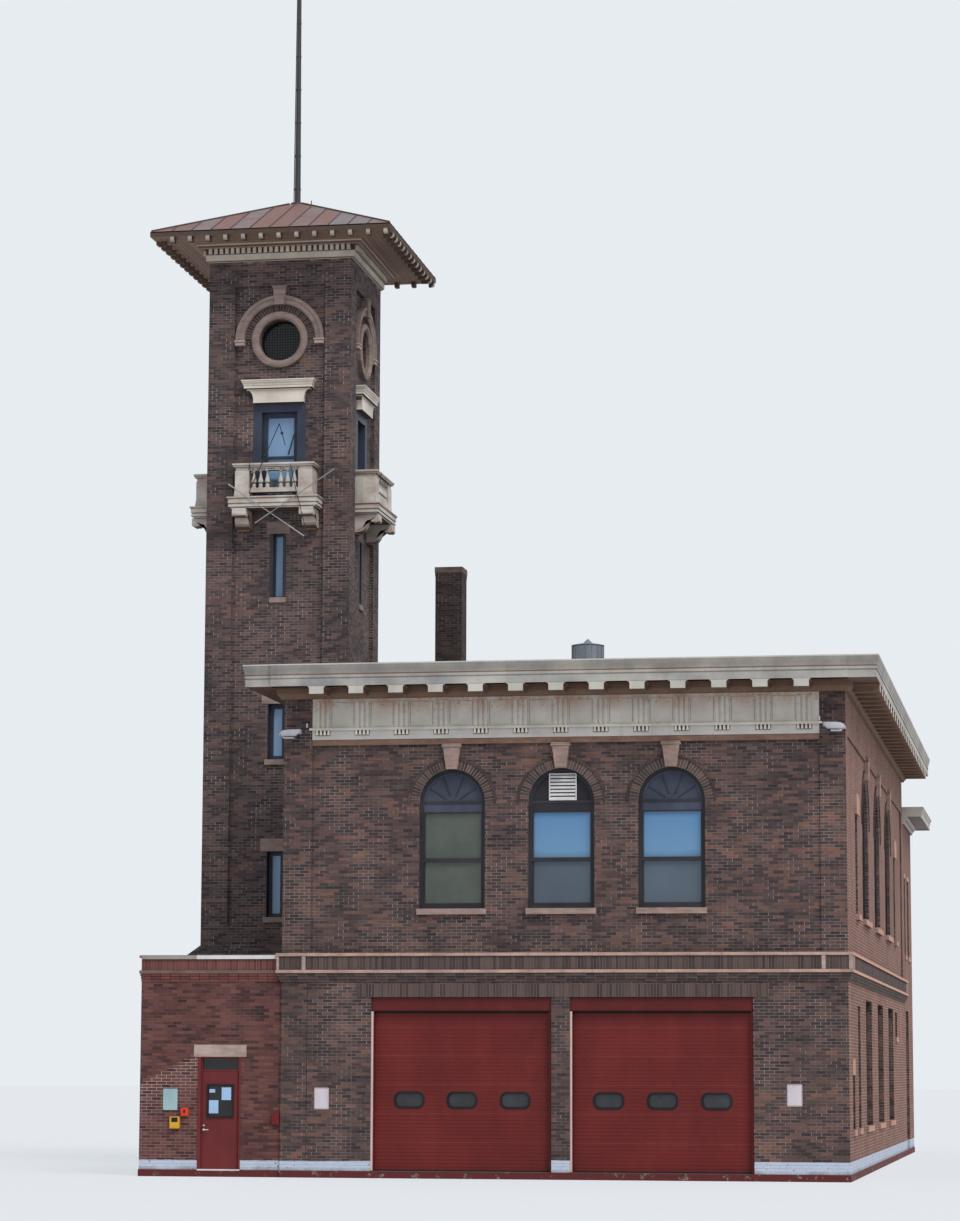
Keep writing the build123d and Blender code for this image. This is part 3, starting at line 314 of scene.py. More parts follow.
def brickwork(look, part, shades, mortar, tired, specks, calm=0.85):
    """Running brick bond with burnt and orange bricks, pale joints, soot and lime specks."""
    along, up = look.wall_place()
    bond = look.add("TexBrick", {
        "Vector": look.field(0, "CombineXYZ", {"X": along, "Y": up}), "Scale": 1.0,
        "Color1": grey(0.0), "Color2": grey(1.0), "Mortar": grey(0.0), "Bias": 0.0,
        "Mortar Size": joint / 2, "Mortar Smooth": 0.25, "Brick Width": brick_length, "Row Height": course,
    })
    tone, gap = (Field(look, bond.outputs[output]) for output in ("Color", "Fac"))
    shift = (1.0 - math.floor(up / course) % 2.0) * 0.5
    phase = look.math("FRACT", along / brick_length + shift)
    head_joint = look.step(abs(phase - 0.5), 0.45, 0.475)
    streaks = look.noise(1.0, 5.0, 0.6, (1, 1, 3.2)) - 0.36
    patches = look.noise(0.38, 3.0) - 0.5
    tint = look.math("ADD", tone * 0.66 + streaks * calm, patches * (0.6 * calm), True)
    sunny = look.facing_right() * look.step(look.x, half - 0.2, half - 0.1)
    bricks = look.mix(sunny * 0.24, brick_shades(look, tint, shades), (214, 128, 92))
    grain = look.noise(46.0, 6.0, 0.7)
    bricks = look.darken(bricks, 0.45, grain, 0.3, 0.75, 0.55)
    joints = look.mix(look.spots(0.75, 0.42, 0.62, 4.0, 0.6), tired, mortar)
    joints = look.mix(sunny * 0.6, joints, (216, 196, 184))
    lime = head_joint * look.spots(2.6, 0.52, 0.60, 3.0, 0.6) * specks
    joints = look.mix(lime, joints, (206, 198, 194))
    if part == "annex":
        joints = repair_patch(look, joints)
    shade = look.mix(gap, bricks, joints)
    shade = look.darken(shade, 0.5, look.noise(0.8, 6.0, 0.62, (1, 1, 0.22)), 0.25, 0.62, 0.5)
    bloom = look.spots(1.7, 0.66, 0.80, 5.0, 0.7, (1, 1, 0.5))
    shade = look.mix(bloom * 0.18, shade, (170, 160, 156))
    if part == "tower":
        smear = look.noise(1.3, 4.0, 0.6, (1, 1, 0.5)) - 0.5
        shade = look.mix(look.step(look.z + smear * 0.5, 21.70, 21.72), shade, (150, 146, 140))
    if part != "chimney":
        shade = base_paint(look, shade)
    return look.done(shade, look.mix_values(grain, 0.78, 0.96), look.bump(grain * 0.35 - gap, 0.007, 0.9))


def single_bricks(look, *shades):
    """Bricks that are pieces of their own: each takes its shade from its tint."""
    tint = look.field("Fac", "Attribute", attribute_name="tint")
    tint = look.math("ADD", tint * 0.62, look.noise(0.9, 4.0) * 0.3, True)
    grain = look.noise(60.0, 6.0, 0.7)
    shade = look.darken(brick_shades(look, tint, shades), 0.5, grain, 0.3, 0.75, 0.55)
    return look.done(shade, look.mix_values(grain, 0.75, 0.95), look.bump(grain, 0.002))


def mortar_bed(look, pale, deep):
    """Sandy joint between single bricks."""
    grain = look.noise(90.0, 6.0, 0.8)
    shade = look.clouds(1.2, deep, pale, 3.0)
    return look.done(look.darken(shade, 0.4, grain, 0.3, 0.7, 0.5), 0.95, look.bump(grain, 0.002))


def stonework(look, pale, deep):
    """Dressed sandstone with a fine grain, soot and worn edges, painted sunlight on the right faces and
    painted shade on faces that look down.
    """
    grain = look.noise(75.0, 6.0, 0.75)
    shade = look.mix(look.spots(2.4, 0.3, 0.7, 6.0, 0.6, (1, 1, 4)), deep, pale)
    shade = look.darken(shade, 0.75, look.noise(1.6, 7.0, 0.68, (1, 1, 0.4)), 0.3, 0.6, 0.54)
    sunny = look.facing_right() * look.step(look.x, half - 0.05, half)
    shade = look.mix(sunny * 0.5, shade, (226, 160, 132))
    # Painted shade: faces that look down are darkened.
    under = look.step(look.facing_z, -0.4, -0.9)
    shade = look.mix(under * 0.5, shade, (58, 50, 46))
    pores = look.spots(34.0, 0.62, 0.70, 4.0)
    shade = look.mix(pores * 0.35, shade, (104, 86, 78))
    return look.done(shade, look.mix_values(grain, 0.72, 0.92), look.bump(grain - pores * 0.6, 0.003))


def cream_work(look, pale, deep, rust, stains=0.0, damp=0.0):
    """Cream paint on sheet metal and boards: chalky, with rust runs, flaked spots and brown undersides, bare
    boards darkened with painted shade.
    """
    clouds = look.noise(1.1, 6.0, 0.62)
    shade = look.mix(look.step(clouds, 0.3, 0.68), deep, pale)
    runs = look.spots(3.1, 0.55, 0.72, 6.0, 0.68, (1, 1, 0.18))
    shade = look.mix(runs * (0.5 * rust), shade, (142, 104, 76))
    if stains:
        wet = look.spots(1.9, 0.40, 0.62, 5.0, 0.65, (1, 1, 2.0))
        shade = look.mix(wet * stains, shade, (150, 110, 84))
    if damp:
        cool = look.spots(1.2, 0.42, 0.60, 5.0, 0.65) * look.step(look.x, 1.0, -5.0) * damp
        shade = look.mix(cool, shade, (112, 118, 126))
    freckles = look.spots(9.0, 0.655, 0.70, 7.0, 0.75)
    shade = look.mix(freckles * rust, shade, (104, 66, 46))
    flakes = look.spots(5.5, 0.33, 0.30, 8.0)
    shade = look.mix(flakes * (0.5 * rust), shade, (96, 92, 88))
    # Faces that look down turn brown: bare boards, with painted shade under things.
    boards = look.clouds(7.0, (78, 58, 48), (116, 88, 72), 5.0)
    shade = look.mix(look.step(look.facing_z, -0.45, -0.7), shade, boards)
    dusty = look.step(look.facing_z, 0.75, 0.95)
    shade = look.mix(dusty * 0.5, shade, (124, 121, 116))
    gloss = look.mix_values(freckles, look.mix_values(clouds, 0.48, 0.66), 0.9)
    return look.done(shade, gloss, look.bump(look.noise(4.0, 3.0) * 0.5 - freckles * 0.3, 0.006))


def frieze_work(look):
    """Cream frieze with rust freckles at its top and a brown tide line under the soffit."""
    shade = look.mix(look.spots(1.3, 0.3, 0.7, 6.0, 0.62), (186, 180, 168), (216, 210, 198))
    high = look.step(look.z, 9.90, 10.22)
    freckles = look.spots(11.0, 0.56, 0.64, 7.0, 0.75) * look.math("ADD", 0.12, high, True)
    shade = look.mix(freckles * 0.75, shade, (112, 74, 54))
    tide = high * look.spots(2.2, 0.38, 0.60, 5.0, 0.6, (1, 1, 0.4))
    shade = look.mix(tide * 0.7, shade, (170, 120, 88))
    fascia = look.step(look.z, 9.600, 9.592)
    shade = look.mix(fascia * 0.3, shade, (158, 162, 168))
    runs = look.spots(4.2, 0.60, 0.74, 6.0, 0.68, (1, 1, 0.14))
    shade = look.mix(runs * 0.4, shade, (150, 112, 84))
    height = look.noise(4.0, 3.0) * 0.5 - freckles * 0.3
    return look.done(shade, look.mix_values(freckles, 0.55, 0.9), look.bump(height, 0.005))


def painted(look, low, high, roughness=0.45, chips=(90, 84, 80), wear=0.3):
    """Brushed paint with faded patches, dirt runs and small chips."""
    dirt = look.noise(2.2, 6.0, 0.65, (1, 1, 0.15))
    shade = look.mix(look.spots(0.9, 0.3, 0.7, 5.0, 0.6), low, high)
    shade = look.darken(shade, 0.4, dirt, 0.3, 0.6, 0.6)
    flakes = look.spots(22.0, 0.68, 0.72, 6.0, 0.72)
    shade = look.mix(flakes * wear, shade, chips)
    height = look.noise(30.0, 3.0, 0.5, (1, 1, 0.1)) * 0.5 - flakes
    gloss = look.mix_values(dirt, roughness - 0.1, roughness + 0.2)
    return look.done(shade, gloss, look.bump(height, 0.0015), specular=0.2)


def window_panes(look):
    """Window glass with painted light: a painted sky reflection in the upper sashes, painted shade of a dim
    room in the lower ones, by where each window is.
    """
    waves = look.noise(0.6, 3.0, 0.5, (1, 1, 0.7))
    drift = look.z + (waves - 0.5) * 0.5
    rail = upper_sill + meeting_rail
    # Upper sashes get a painted sky reflection; the lower ones get painted shade of a dim room.
    upper = look.step(look.z, rail - 0.01, rail + 0.01) * look.step(drift, rail - 0.2, rail + 0.2)
    sky = look.mix(look.step(drift, rail, rail + 1.0), (104, 148, 184), (86, 134, 176))
    shade = look.mix(upper, look.mix(waves, (54, 64, 74), (92, 108, 124)), sky)
    # Panes that face right get a darker painted reflection.
    shade = look.mix(look.facing_right(), shade, look.mix(waves, (30, 34, 38), (62, 74, 84)))
    # Tower panes get a brighter painted sky reflection.
    on_tower = look.step(look.x, -half - 0.05, -half - 0.1)
    shade = look.mix(on_tower, shade, look.mix(waves, (104, 142, 182), (150, 182, 212)))
    # Painted shade on the low tower panes behind the balcony rail.
    rail_shaded_pane = on_tower * look.step(look.z, 16.44, 16.36) * look.step(look.z, 15.7, 15.75)
    shade = look.mix(rail_shaded_pane * 0.85, shade, (58, 54, 56))
    # Painted shade of the dark inside behind the round openings.
    shaded_round_pane = on_tower * look.step(look.z, 19.0, 19.1)
    shade = look.mix(shaded_round_pane, shade, look.mix(waves, (14, 14, 14), (26, 26, 26)))
    # Painted shade of the dim rooms behind the lowest windows.
    shaded_lowest_rooms = look.step(look.z, 4.6, 4.5)
    shade = look.mix(shaded_lowest_rooms, shade, look.mix(waves, (34, 38, 42), (70, 80, 88)))
    leafy = look.step(look.x, -1.6, -1.7) * look.step(look.x, -3.2, -3.1) * look.step(look.y, 1.0, 0.9)
    leaves = look.mix(look.noise(2.2, 6.0, 0.6), (54, 62, 58), (92, 98, 86))
    shade = look.mix(leafy, shade, leaves)
    ripple = look.bump(look.noise(1.8, 2.0), 0.01, 0.25)
    return look.done(shade, look.mix_values(waves, 0.06, 0.12), ripple, specular=0.5)


def dark_glass(look, low, high):
    """Door panes, dark with painted shade of the unlit rooms behind them."""
    dust = look.noise(2.5, 4.0)
    shade = look.mix(look.step(dust, 0.35, 0.75), low, high)
    return look.done(shade, look.mix_values(dust, 0.12, 0.3), look.bump(dust, 0.001), specular=0.5)


def roof_sheets(look):
    """Weathered standing-seam sheets: grey metal under worn pink-brown paint."""
    runs = look.noise(1.5, 6.0, 0.65)
    tint = look.field("Fac", "Attribute", attribute_name="tint")
    shade = look.mix(look.step(tint * 0.5 + runs, 0.62, 0.92), (130, 98, 92), (130, 120, 122))
    stains = look.noise(5.0, 7.0, 0.7)
    shade = look.mix(look.step(stains, 0.55, 0.7) * 0.6, shade, (116, 74, 60))
    shade = look.mix(look.step(stains, 0.38, 0.28) * 0.6, shade, (88, 82, 84))
    return look.done(shade, look.mix_values(stains, 0.5, 0.75), look.bump(runs, 0.01), 0.15)


def eave_boards(look, pale, deep, pitch=0.11):
    """Weathered matched boards that run along the eaves, with open joints and grain."""
    across = look.math("MAXIMUM", abs(look.x - tower_x), abs(look.y - tower_y)) / pitch
    gap = abs(look.math("FRACT", across) - 0.5) > 0.46
    tint = look.field("Value", "TexWhiteNoise", {"W": math.floor(across)}, noise_dimensions="1D")
    grain = look.noise(9.0, 7.0, 0.7)
    shade = look.mix(look.mix_values(0.6, tint, grain), deep, pale)
    shade = look.mix(gap * 0.7, shade, (38, 28, 24))
    upright = look.step(abs(look.facing_z), 0.7, 0.5)
    shade = look.mix(upright, shade, look.mix(grain, (58, 48, 44), (96, 78, 68)))
    return look.done(shade, look.mix_values(grain, 0.7, 0.9), look.bump(grain * 0.3 - gap, 0.006))


def weathered_wood(look, pale, deep):
    """Bare brown timber with grain and dark stains."""
    grain = look.noise(14.0, 7.0, 0.7)
    shade = look.darken(look.mix(grain, deep, pale), 0.6, look.noise(1.7, 5.0, 0.6), 0.3, 0.6, 0.6)
    return look.done(shade, look.mix_values(grain, 0.7, 0.92), look.bump(grain, 0.004))


def bare_metal(look, pale, deep, roughness=0.4, rust=0.2):
    """Galvanised or weathered metal with spangle, streaks and rust."""
    streaks = look.noise(5.0, 6.0, 0.65, (1, 1, 0.15))
    spangle = look.field("Color", "TexVoronoi", {"Vector": look.place, "Scale": 26.0})
    shade = look.mix(0.12, look.mix(streaks, deep, pale), spangle, "OVERLAY")
    shade = look.mix(look.spots(6.0, 0.6, 0.7, 8.0, 0.72) * rust, shade, (112, 70, 48))
    gloss = look.mix_values(streaks, roughness, roughness + 0.25)
    return look.done(shade, gloss, look.bump(streaks, 0.002), 0.6, 0.5)


def felt(look):
    """Mineral roofing felt laid in strips, with ponding marks."""
    strip, overlap = 0.95, 0.975
    seam = look.math("FRACT", look.y / strip) > overlap
    grit = look.noise(130.0, 4.0, 0.8)
    shade = look.mix(look.spots(0.5, 0.35, 0.65, 6.0, 0.6), (84, 84, 86), (122, 120, 118))
    shade = look.darken(shade, 0.5, grit, 0.3, 0.7, 0.5)
    shade = look.mix(seam * 0.7, shade, (48, 48, 50))
    return look.done(shade, 0.9, look.bump(grit - seam, 0.004))


def cast_floor(look):
    """Concrete: dark red paint on the outer faces, grey and trowelled on top."""
    grain = look.noise(26.0, 7.0, 0.7)
    plain = look.mix(grain, (108, 104, 100), (152, 148, 142))
    red = look.mix(grain, (104, 44, 44), (84, 34, 36))
    worn = look.spots(4.0, 0.36, 0.42, 7.0)
    shade = look.mix(look.step(look.facing_z, 0.8, 0.6) * worn, plain, red)
    return look.done(shade, look.mix_values(grain, 0.7, 0.9), look.bump(grain, 0.003))


# Every material: its maker, its name, and what it is made with
recipes = {
    brickwork: {
        "Brick": ("main", ((56, 48, 51), (80, 66, 66), (101, 81, 77), (127, 93, 83), (152, 103, 84)),
                  (152, 140, 133), (92, 82, 78), 0.5),
        "TowerBrick": ("tower", ((56, 49, 52), (79, 68, 69), (100, 84, 82), (122, 95, 88), (144, 105, 92)),
                       (152, 140, 133), (92, 82, 78), 0.75),
        "AnnexBrick": ("annex", ((60, 42, 43), (98, 62, 60), (116, 75, 70), (130, 85, 76), (148, 96, 82)),
                       (124, 97, 93), (92, 68, 66), 0.0, 0.6),
        "ChimneyBrick": ("chimney", ((36, 31, 33), (54, 45, 45), (66, 54, 53), (80, 63, 58), (98, 74, 64)),
                         (96, 84, 78), (70, 60, 58), 0.3),
    },
    single_bricks: {
        "ArchBrick": ((52, 45, 46), (76, 64, 61), (96, 79, 74), (118, 91, 82), (138, 102, 88)),
        "BeltBrick": ((58, 48, 49), (78, 66, 64), (92, 77, 73), (108, 88, 82), (124, 96, 86)),
        "AnnexRowBrick": ((92, 54, 54), (110, 65, 62), (121, 73, 69), (130, 80, 74), (140, 90, 80)),
    },
    mortar_bed: {
        "Mortar": ((198, 184, 176), (146, 133, 126)),
        "BeltMortar": ((156, 142, 134), (118, 104, 98)),
        "AnnexMortar": ((168, 140, 134), (136, 108, 104)),
        "PaleLine": ((132, 116, 108), (92, 80, 76)),
    },
    stonework: {
        "Sandstone": ((176, 152, 142), (142, 118, 108)),
        "TowerStone": ((164, 144, 136), (130, 112, 104)),
        "BeltStone": ((206, 172, 158), (172, 140, 128)),
        "PaleStone": ((200, 178, 170), (166, 142, 134)),
        "BrownStone": ((146, 114, 98), (116, 90, 78)),
        "AnnexBand": ((130, 110, 102), (106, 88, 80)),
        "ChimneyCap": ((112, 98, 90), (84, 72, 68)),
    },
    weathered_wood: {
        "BedWood": ((140, 112, 92), (92, 72, 60)),
        "RafterWood": ((112, 88, 76), (76, 58, 50)),
    },
    cream_work: {
        "CreamPaint": ((192, 188, 178), (150, 148, 144), 0.55),
        "CreamClean": ((204, 200, 190), (172, 168, 160), 0.35),
        "CoronaPaint": ((188, 184, 174), (140, 138, 134), 0.6, 0.0, 0.6),
        "TopMouldPaint": ((168, 162, 152), (122, 119, 115), 0.6, 0.0, 0.4),
        "FlangePaint": ((204, 200, 190), (172, 168, 160), 0.2),
        "HeadPaint": ((232, 224, 210), (196, 186, 172), 0.35),
        "BalconyPaint": ((216, 209, 198), (176, 169, 160), 0.45, 0.45),
        "BeigePaint": ((168, 142, 122), (128, 106, 90), 0.4),
        "DentilPaint": ((222, 212, 196), (178, 168, 156), 0.5),
        "RustLine": ((142, 108, 84), (104, 74, 56), 1.0),
    },
    frieze_work: {"FriezePaint": ()},
    painted: {
        "PanelLine": ((138, 131, 124), (162, 155, 147), 0.6),
        "PaintedShadow": ((72, 62, 56), (96, 84, 76), 0.7),
        "WindowPaint": ((42, 42, 48), (62, 61, 67), 0.4),
        "DarkPanel": ((38, 36, 40), (54, 52, 56), 0.5),
        "SlatePaint": ((58, 62, 75), (82, 87, 104), 0.4),
        "NavyPaint": ((48, 52, 66), (68, 74, 91), 0.4),
        "WhiteMetal": ((206, 204, 204), (230, 228, 226), 0.4),
        "GreyFlashing": ((146, 136, 132), (170, 162, 156), 0.5),
        "BarnRed": ((104, 35, 34), (118, 42, 40), 0.42, (140, 96, 90), 0.25),
        "JointRed": ((124, 56, 54), (140, 68, 66)),
        "TrimRed": ((88, 30, 30), (104, 37, 37), 0.42, (140, 100, 90), 0.3),
        "ManDoorRed": ((106, 42, 44), (120, 50, 50), 0.42, (150, 100, 94), 0.3),
        "PinkTrim": ((206, 176, 168), (222, 196, 188), 0.5),
        "OrangePaint": ((206, 58, 34), (222, 72, 42), 0.35),
        "YellowPaint": ((206, 150, 34), (224, 170, 52), 0.35),
        "AlarmRed": ((98, 28, 32), (116, 36, 38), 0.35),
        "SignWhite": ((206, 198, 204), (226, 220, 224), 0.35),
        "SignLine": ((168, 84, 92), (182, 100, 108), 0.4),
        "SignGreen": ((150, 182, 186), (176, 202, 204), 0.35),
        "Paper": ((164, 198, 236), (184, 212, 246), 0.6),
        "Rubber": ((26, 27, 29), (40, 42, 44), 0.6),
        "RafterPaint": ((158, 148, 136), (190, 182, 170), 0.6, (96, 72, 56), 0.6),
        "LampMetal": ((166, 168, 176), (196, 198, 206), 0.4),
    },
    window_panes: {"WindowGlass": ()},
    dark_glass: {
        "ShadedPortholeGlass": ((32, 34, 39), (54, 57, 64)),
        "DoorGlass": ((14, 15, 18), (30, 31, 35)),
    },
    roof_sheets: {"RoofSheets": ()},
    eave_boards: {"SoffitBoards": ((160, 132, 114), (112, 90, 78))},
    bare_metal: {
        "SeamMetal": ((104, 92, 90), (64, 50, 46), 0.5, 0.5),
        "Galvanised": ((150, 158, 166), (98, 106, 114)),
        "MastMetal": ((86, 84, 84), (48, 46, 46), 0.5, 0.5),
        "HandleSteel": ((206, 206, 206), (150, 150, 152), 0.25, 0.0),
        "RodMetal": ((176, 176, 178), (120, 120, 122), 0.35, 0.2),
        "DarkRod": ((70, 68, 68), (40, 38, 38), 0.5, 0.4),
    },
    felt: {"RoofFelt": ()},
    cast_floor: {"Concrete": ()},
}
looks = {name: make(Look(name), *values) for make, rows in recipes.items() for name, values in rows.items()}


def wall_map(start, along, out):
    """Map from a wall's own places, (along it, up it, out of its face), to the building's."""
    def place(u, v, w):
        return (start[0] + along[0] * u + out[0] * w, start[1] + along[1] * u + out[1] * w, v)
    return place


on_front = wall_map((0, 0), (1, 0), (0, -1))
on_right = wall_map((half, 0), (0, 1), (1, 0))
on_left = wall_map((-half, 0), (0, 1), (-1, 0))
on_main_rear = wall_map((0, main_depth), (1, 0), (0, 1))
on_back = wall_map((0, back_y), (1, 0), (0, 1))
on_annex = wall_map((0, annex_low.y), (1, 0), (0, -1))
on_annex_side = wall_map((annex_low.x, 0), (0, 1), (-1, 0))
on_tower_front = wall_map((tower_x, tower_low.y), (1, 0), (0, -1))
on_tower_left = wall_map((tower_low.x, tower_y), (0, 1), (-1, 0))
on_tower_right = wall_map((tower_high.x, tower_y), (0, 1), (1, 0))
on_tower_back = wall_map((tower_x, tower_back_y), (1, 0), (0, 1))
tower_faces = (on_tower_front, on_tower_left, on_tower_right, on_tower_back)
cornice_path = [
    ((-half, tower_low.y), (-1, 0)), ((-half, 0), (-1, -1)), ((half, 0), (1, -1)),
    ((half, main_depth), (1, 1)), ((-half, main_depth), (-1, 1)), ((-half, tower_back_y), (-1, 0)),
]


def arc_points(middle, level, radius, start, end, steps):
    """Points of an arc, in degrees from the right."""
    angles = [math.radians(start + (end - start) * i / steps) for i in range(steps + 1)]
    return [(middle + radius * math.cos(a), level + radius * math.sin(a)) for a in angles]


def sector(middle, level, outer, inner, start=0, end=180, steps=40):
    """Outline of a stretch of a flat ring, or of its upper half."""
    outside = arc_points(middle, level, outer, start, end, steps)
    return outside + arc_points(middle, level, inner, end, start, steps)


def turns(count, gap):
    """Start and end of each of the bricks that fill half a ring, in degrees, with a gap at both ends."""
    return [(180 * i / count + gap, 180 * (i + 1) / count - gap) for i in range(count)]


def rectangle(left, right, low, high):
    return [(left, low), (right, low), (right, high), (left, high)]


def rounded(middle, level, width, height, radius, steps=6):
    """Rectangle with round corners, as points."""
    points = []
    for sx, sy, start in ((1, 1, 0), (-1, 1, 90), (-1, -1, 180), (1, -1, 270)):
        corner = (middle + sx * (width / 2 - radius), level + sy * (height / 2 - radius))
        points += arc_points(*corner, radius, start, start + 90, steps)
    return points


def both_sides(side):
    """Outline that is its own mirror image, from the points of its right half."""
    return side + [(-u, v) for u, v in reversed(side)]


def cyma(out0, level0, out1, level1, steps=8):
    """Points of an S-shaped moulding between two corners."""
    shares = [i / steps for i in range(steps + 1)]
    return [(out0 + (out1 - out0) * t * t * (3 - 2 * t), level0 + (level1 - level0) * t) for t in shares]


def corner_path(x0, x1, y0, y1):
    """Closed path round a rectangle, with its mitres."""
    return [((x0, y0), (-1, -1)), ((x1, y0), (1, -1)), ((x1, y1), (1, 1)), ((x0, y1), (-1, 1))]


# Corners of a shelf on a wall: its side, and whether they are at its front
shelf_corners = ((-1, False), (-1, True), (1, True), (1, False))


class Shape:
    """Gathers solids into one mesh; each solid has a tint that its material may read."""

    def __init__(self):
        self.points = []
        self.faces = []
        self.tints = []

    def solid(self, points, faces, tint=0.5):
        start = len(self.points)
        self.points += [tuple(point) for point in points]
        self.faces += [tuple(start + i for i in face) for face in faces]
        self.tints += [tint] * len(points)

    def loft(self, rings, tint=0.5, closed=False):
        """Rings of as many points joined to a solid; the last one joins the first if `closed`."""
        count = len(rings[0])
        faces = []
        for i in range(len(rings) if closed else len(rings) - 1):
            near, far = i * count, (i + 1) % len(rings) * count
            for j in range(count):
                after = (j + 1) % count
                faces.append((near + j, near + after, far + after, far + j))
        if not closed:
            last = (len(rings) - 1) * count
            faces += [tuple(range(count)), tuple(range(last + count - 1, last - 1, -1))]
        self.solid([point for ring in rings for point in ring], faces, tint)

    def prism(self, place, outline, low, high, tint=0.5):
        """Outline on a wall, from `low` to `high` out of its face."""
        self.loft([[place(u, v, w) for u, v in outline] for w in (low, high)], tint)

    def box(self, place, u0, u1, v0, v1, low, high, tint=0.5):
        self.prism(place, rectangle(u0, u1, v0, v1), low, high, tint)

    def boxes(self, place, spans, low, high):
        for span in spans:
            self.box(place, *span, low, high)

    def stack(self, place, u0, u1, low, high, levels):
        """Block whose sides and front grow from level to level."""
        self.loft([[place(u, v, w) for u, w in rectangle(u0 - g, u1 + g, low, high + g)] for v, g in levels])

    def turned(self, place, profile, segments=24, end=math.tau):
        """Profile of (radius, height) turned about a line through (0, 0)."""
        whole = end == math.tau
        angles = [end * i / segments for i in range(segments if whole else segments + 1)]
        rings = [[place(r * math.cos(a), r * math.sin(a), h) for r, h in profile] for a in angles]
        self.loft(rings, closed=whole)

    def moulding(self, profile, path, closed=False):
        """Profile of (out, level) swept along a path of ((x, y), (mitre x, mitre y))."""
        rings = [[(x + mx * out, y + my * out, level) for out, level in profile] for (x, y), (mx, my) in path]
        self.loft(rings, closed=closed)

    def shelf(self, face, profile, half_width, reach, back):
        """Profile of (grow, level) round the three free sides of a shelf on a wall."""
        def corner(side, front, grow, level):
            return face(side * (half_width + grow), level, reach + grow if front else back)
        self.loft([[corner(*ends, *point) for point in profile] for ends in shelf_corners])

    def ring(self, wall, outer, inner, low, high):
        """Flat ring between two outlines with as many points."""
        rings = [[wall(*a, low), wall(*b, low), wall(*b, high), wall(*a, high)] for a, b in zip(inner, outer)]
        self.loft(rings, closed=True)

    def rod(self, start, end, radius, segments=8):
        """Straight round bar between two points."""
        start, end = Vector(start), Vector(end)
        turn = (end - start).to_track_quat("Z", "Y").to_matrix()
        length = (end - start).length

        def place(a, b, h):
            return start + turn @ Vector((a, b, h))
        self.turned(place, [(0.0001, 0), (radius, 0), (radius, length), (0.0001, length)], segments)

    def piece(self, name, look, slot, body="building", bevel=0.0, smooth=0.0, replaces=()):
        """The mesh as an object that rides on a body."""
        mesh = bpy.data.meshes.new(name)
        mesh.from_pydata(self.points, [], self.faces)
        mesh.attributes.new("tint", "FLOAT", "POINT").data.foreach_set("value", self.tints)
        work = bmesh.new()
        work.from_mesh(mesh)
        bmesh.ops.recalc_face_normals(work, faces=work.faces)
        work.to_mesh(mesh)
        work.free()
        thing = add_object(name, mesh)
        mesh.materials.append(looks[look])
        if smooth:
            mesh.shade_smooth()
            mesh.set_sharp_from_angle(angle=math.radians(smooth))
        if bevel:
            edges = thing.modifiers.new("edges", "BEVEL")
            edges.width = bevel
            edges.segments = 1
            edges.limit_method = "ANGLE"
        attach(thing, body)
        if replaces:
            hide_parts(*replaces)


def shapes(count):
    return [Shape() for _ in range(count)]


class Window(namedtuple("Window", "wall place sill width height bars arched", defaults=((), False))):
    """An opening of a wall: its place along the wall, its sill, its size and the levels of its bars."""

    @property
    def left(self):
        return self.place - self.width / 2

    @property
    def right(self):
        return self.place + self.width / 2

    @property
    def head(self):
        """Top of a square opening, or the level where an arched one starts to bend."""
        return self.sill + self.height - (self.width / 2 if self.arched else 0)


def arched(wall, place, width, height):
    return Window(wall, place, upper_sill, width, height, (height - width / 2, meeting_rail), True)


front_windows = [arched(on_front, x, *front_window) for x in front_places]
arched_windows = front_windows + [arched(on_right, y, *side_window) for y in side_places]
arched_windows += [arched(on_left, y, *side_window) for y in side_places[1:]]
square_windows = [
    *[Window(wall, y, upper_sill, 0.8, 2.21, (meeting_rail,)) for wall in (on_right, on_left)
      for y in (3.79, main_depth - 3.79)],
    *[Window(on_right, y, ground_sill, side_window[0], 2.83, (ground_rail,)) for y in side_places],
    *[Window(on_left, y, ground_sill, side_window[0], 2.83, (ground_rail,)) for y in side_places[1:]],
    Window(on_right, 3.45, ground_sill, 0.8, 2.65, (ground_rail,)),
    Window(on_right, 1.49, ground_sill, 0.7, 1.15),
    *[Window(wall, 18.8, 3.19, 0.9, 0.65) for wall in (on_right, on_left)],
    *[Window(wall, main_depth + 0.9, rear_sill, 0.6, 2.15, (meeting_rail,)) for wall in (on_right, on_left)],
    *[Window(wall, main_depth + 2.65, rear_sill, 0.9, 2.15, (meeting_rail,)) for wall in (on_right, on_left)],
    Window(on_left, main_depth + 1.5, ground_sill, 0.9, 2.65, (ground_rail,)),
    *[Window(on_back, x, rear_sill, 1.1, 2.15, (meeting_rail,)) for x in (-3.3, 0, 3.3)],
    *[Window(on_back, x, ground_sill, 1.1, 2.65, (ground_rail,)) for x in (-3.3, 0, 3.3)],
]


def brick_row(shape, wall, start, end, low, high, face, out, length):
    """Row of single bricks along a wall."""
    count = max(1, round((end - start) / length))
    pitch = (end - start) / count
    for i in range(count):
        u = start + i * pitch
        rough = chance.uniform(-0.0015, 0.0015)
        shape.box(wall, u + joint / 2, u + pitch - joint / 2, low + 0.004, high - 0.004, face, out + rough,
                  chance.random())


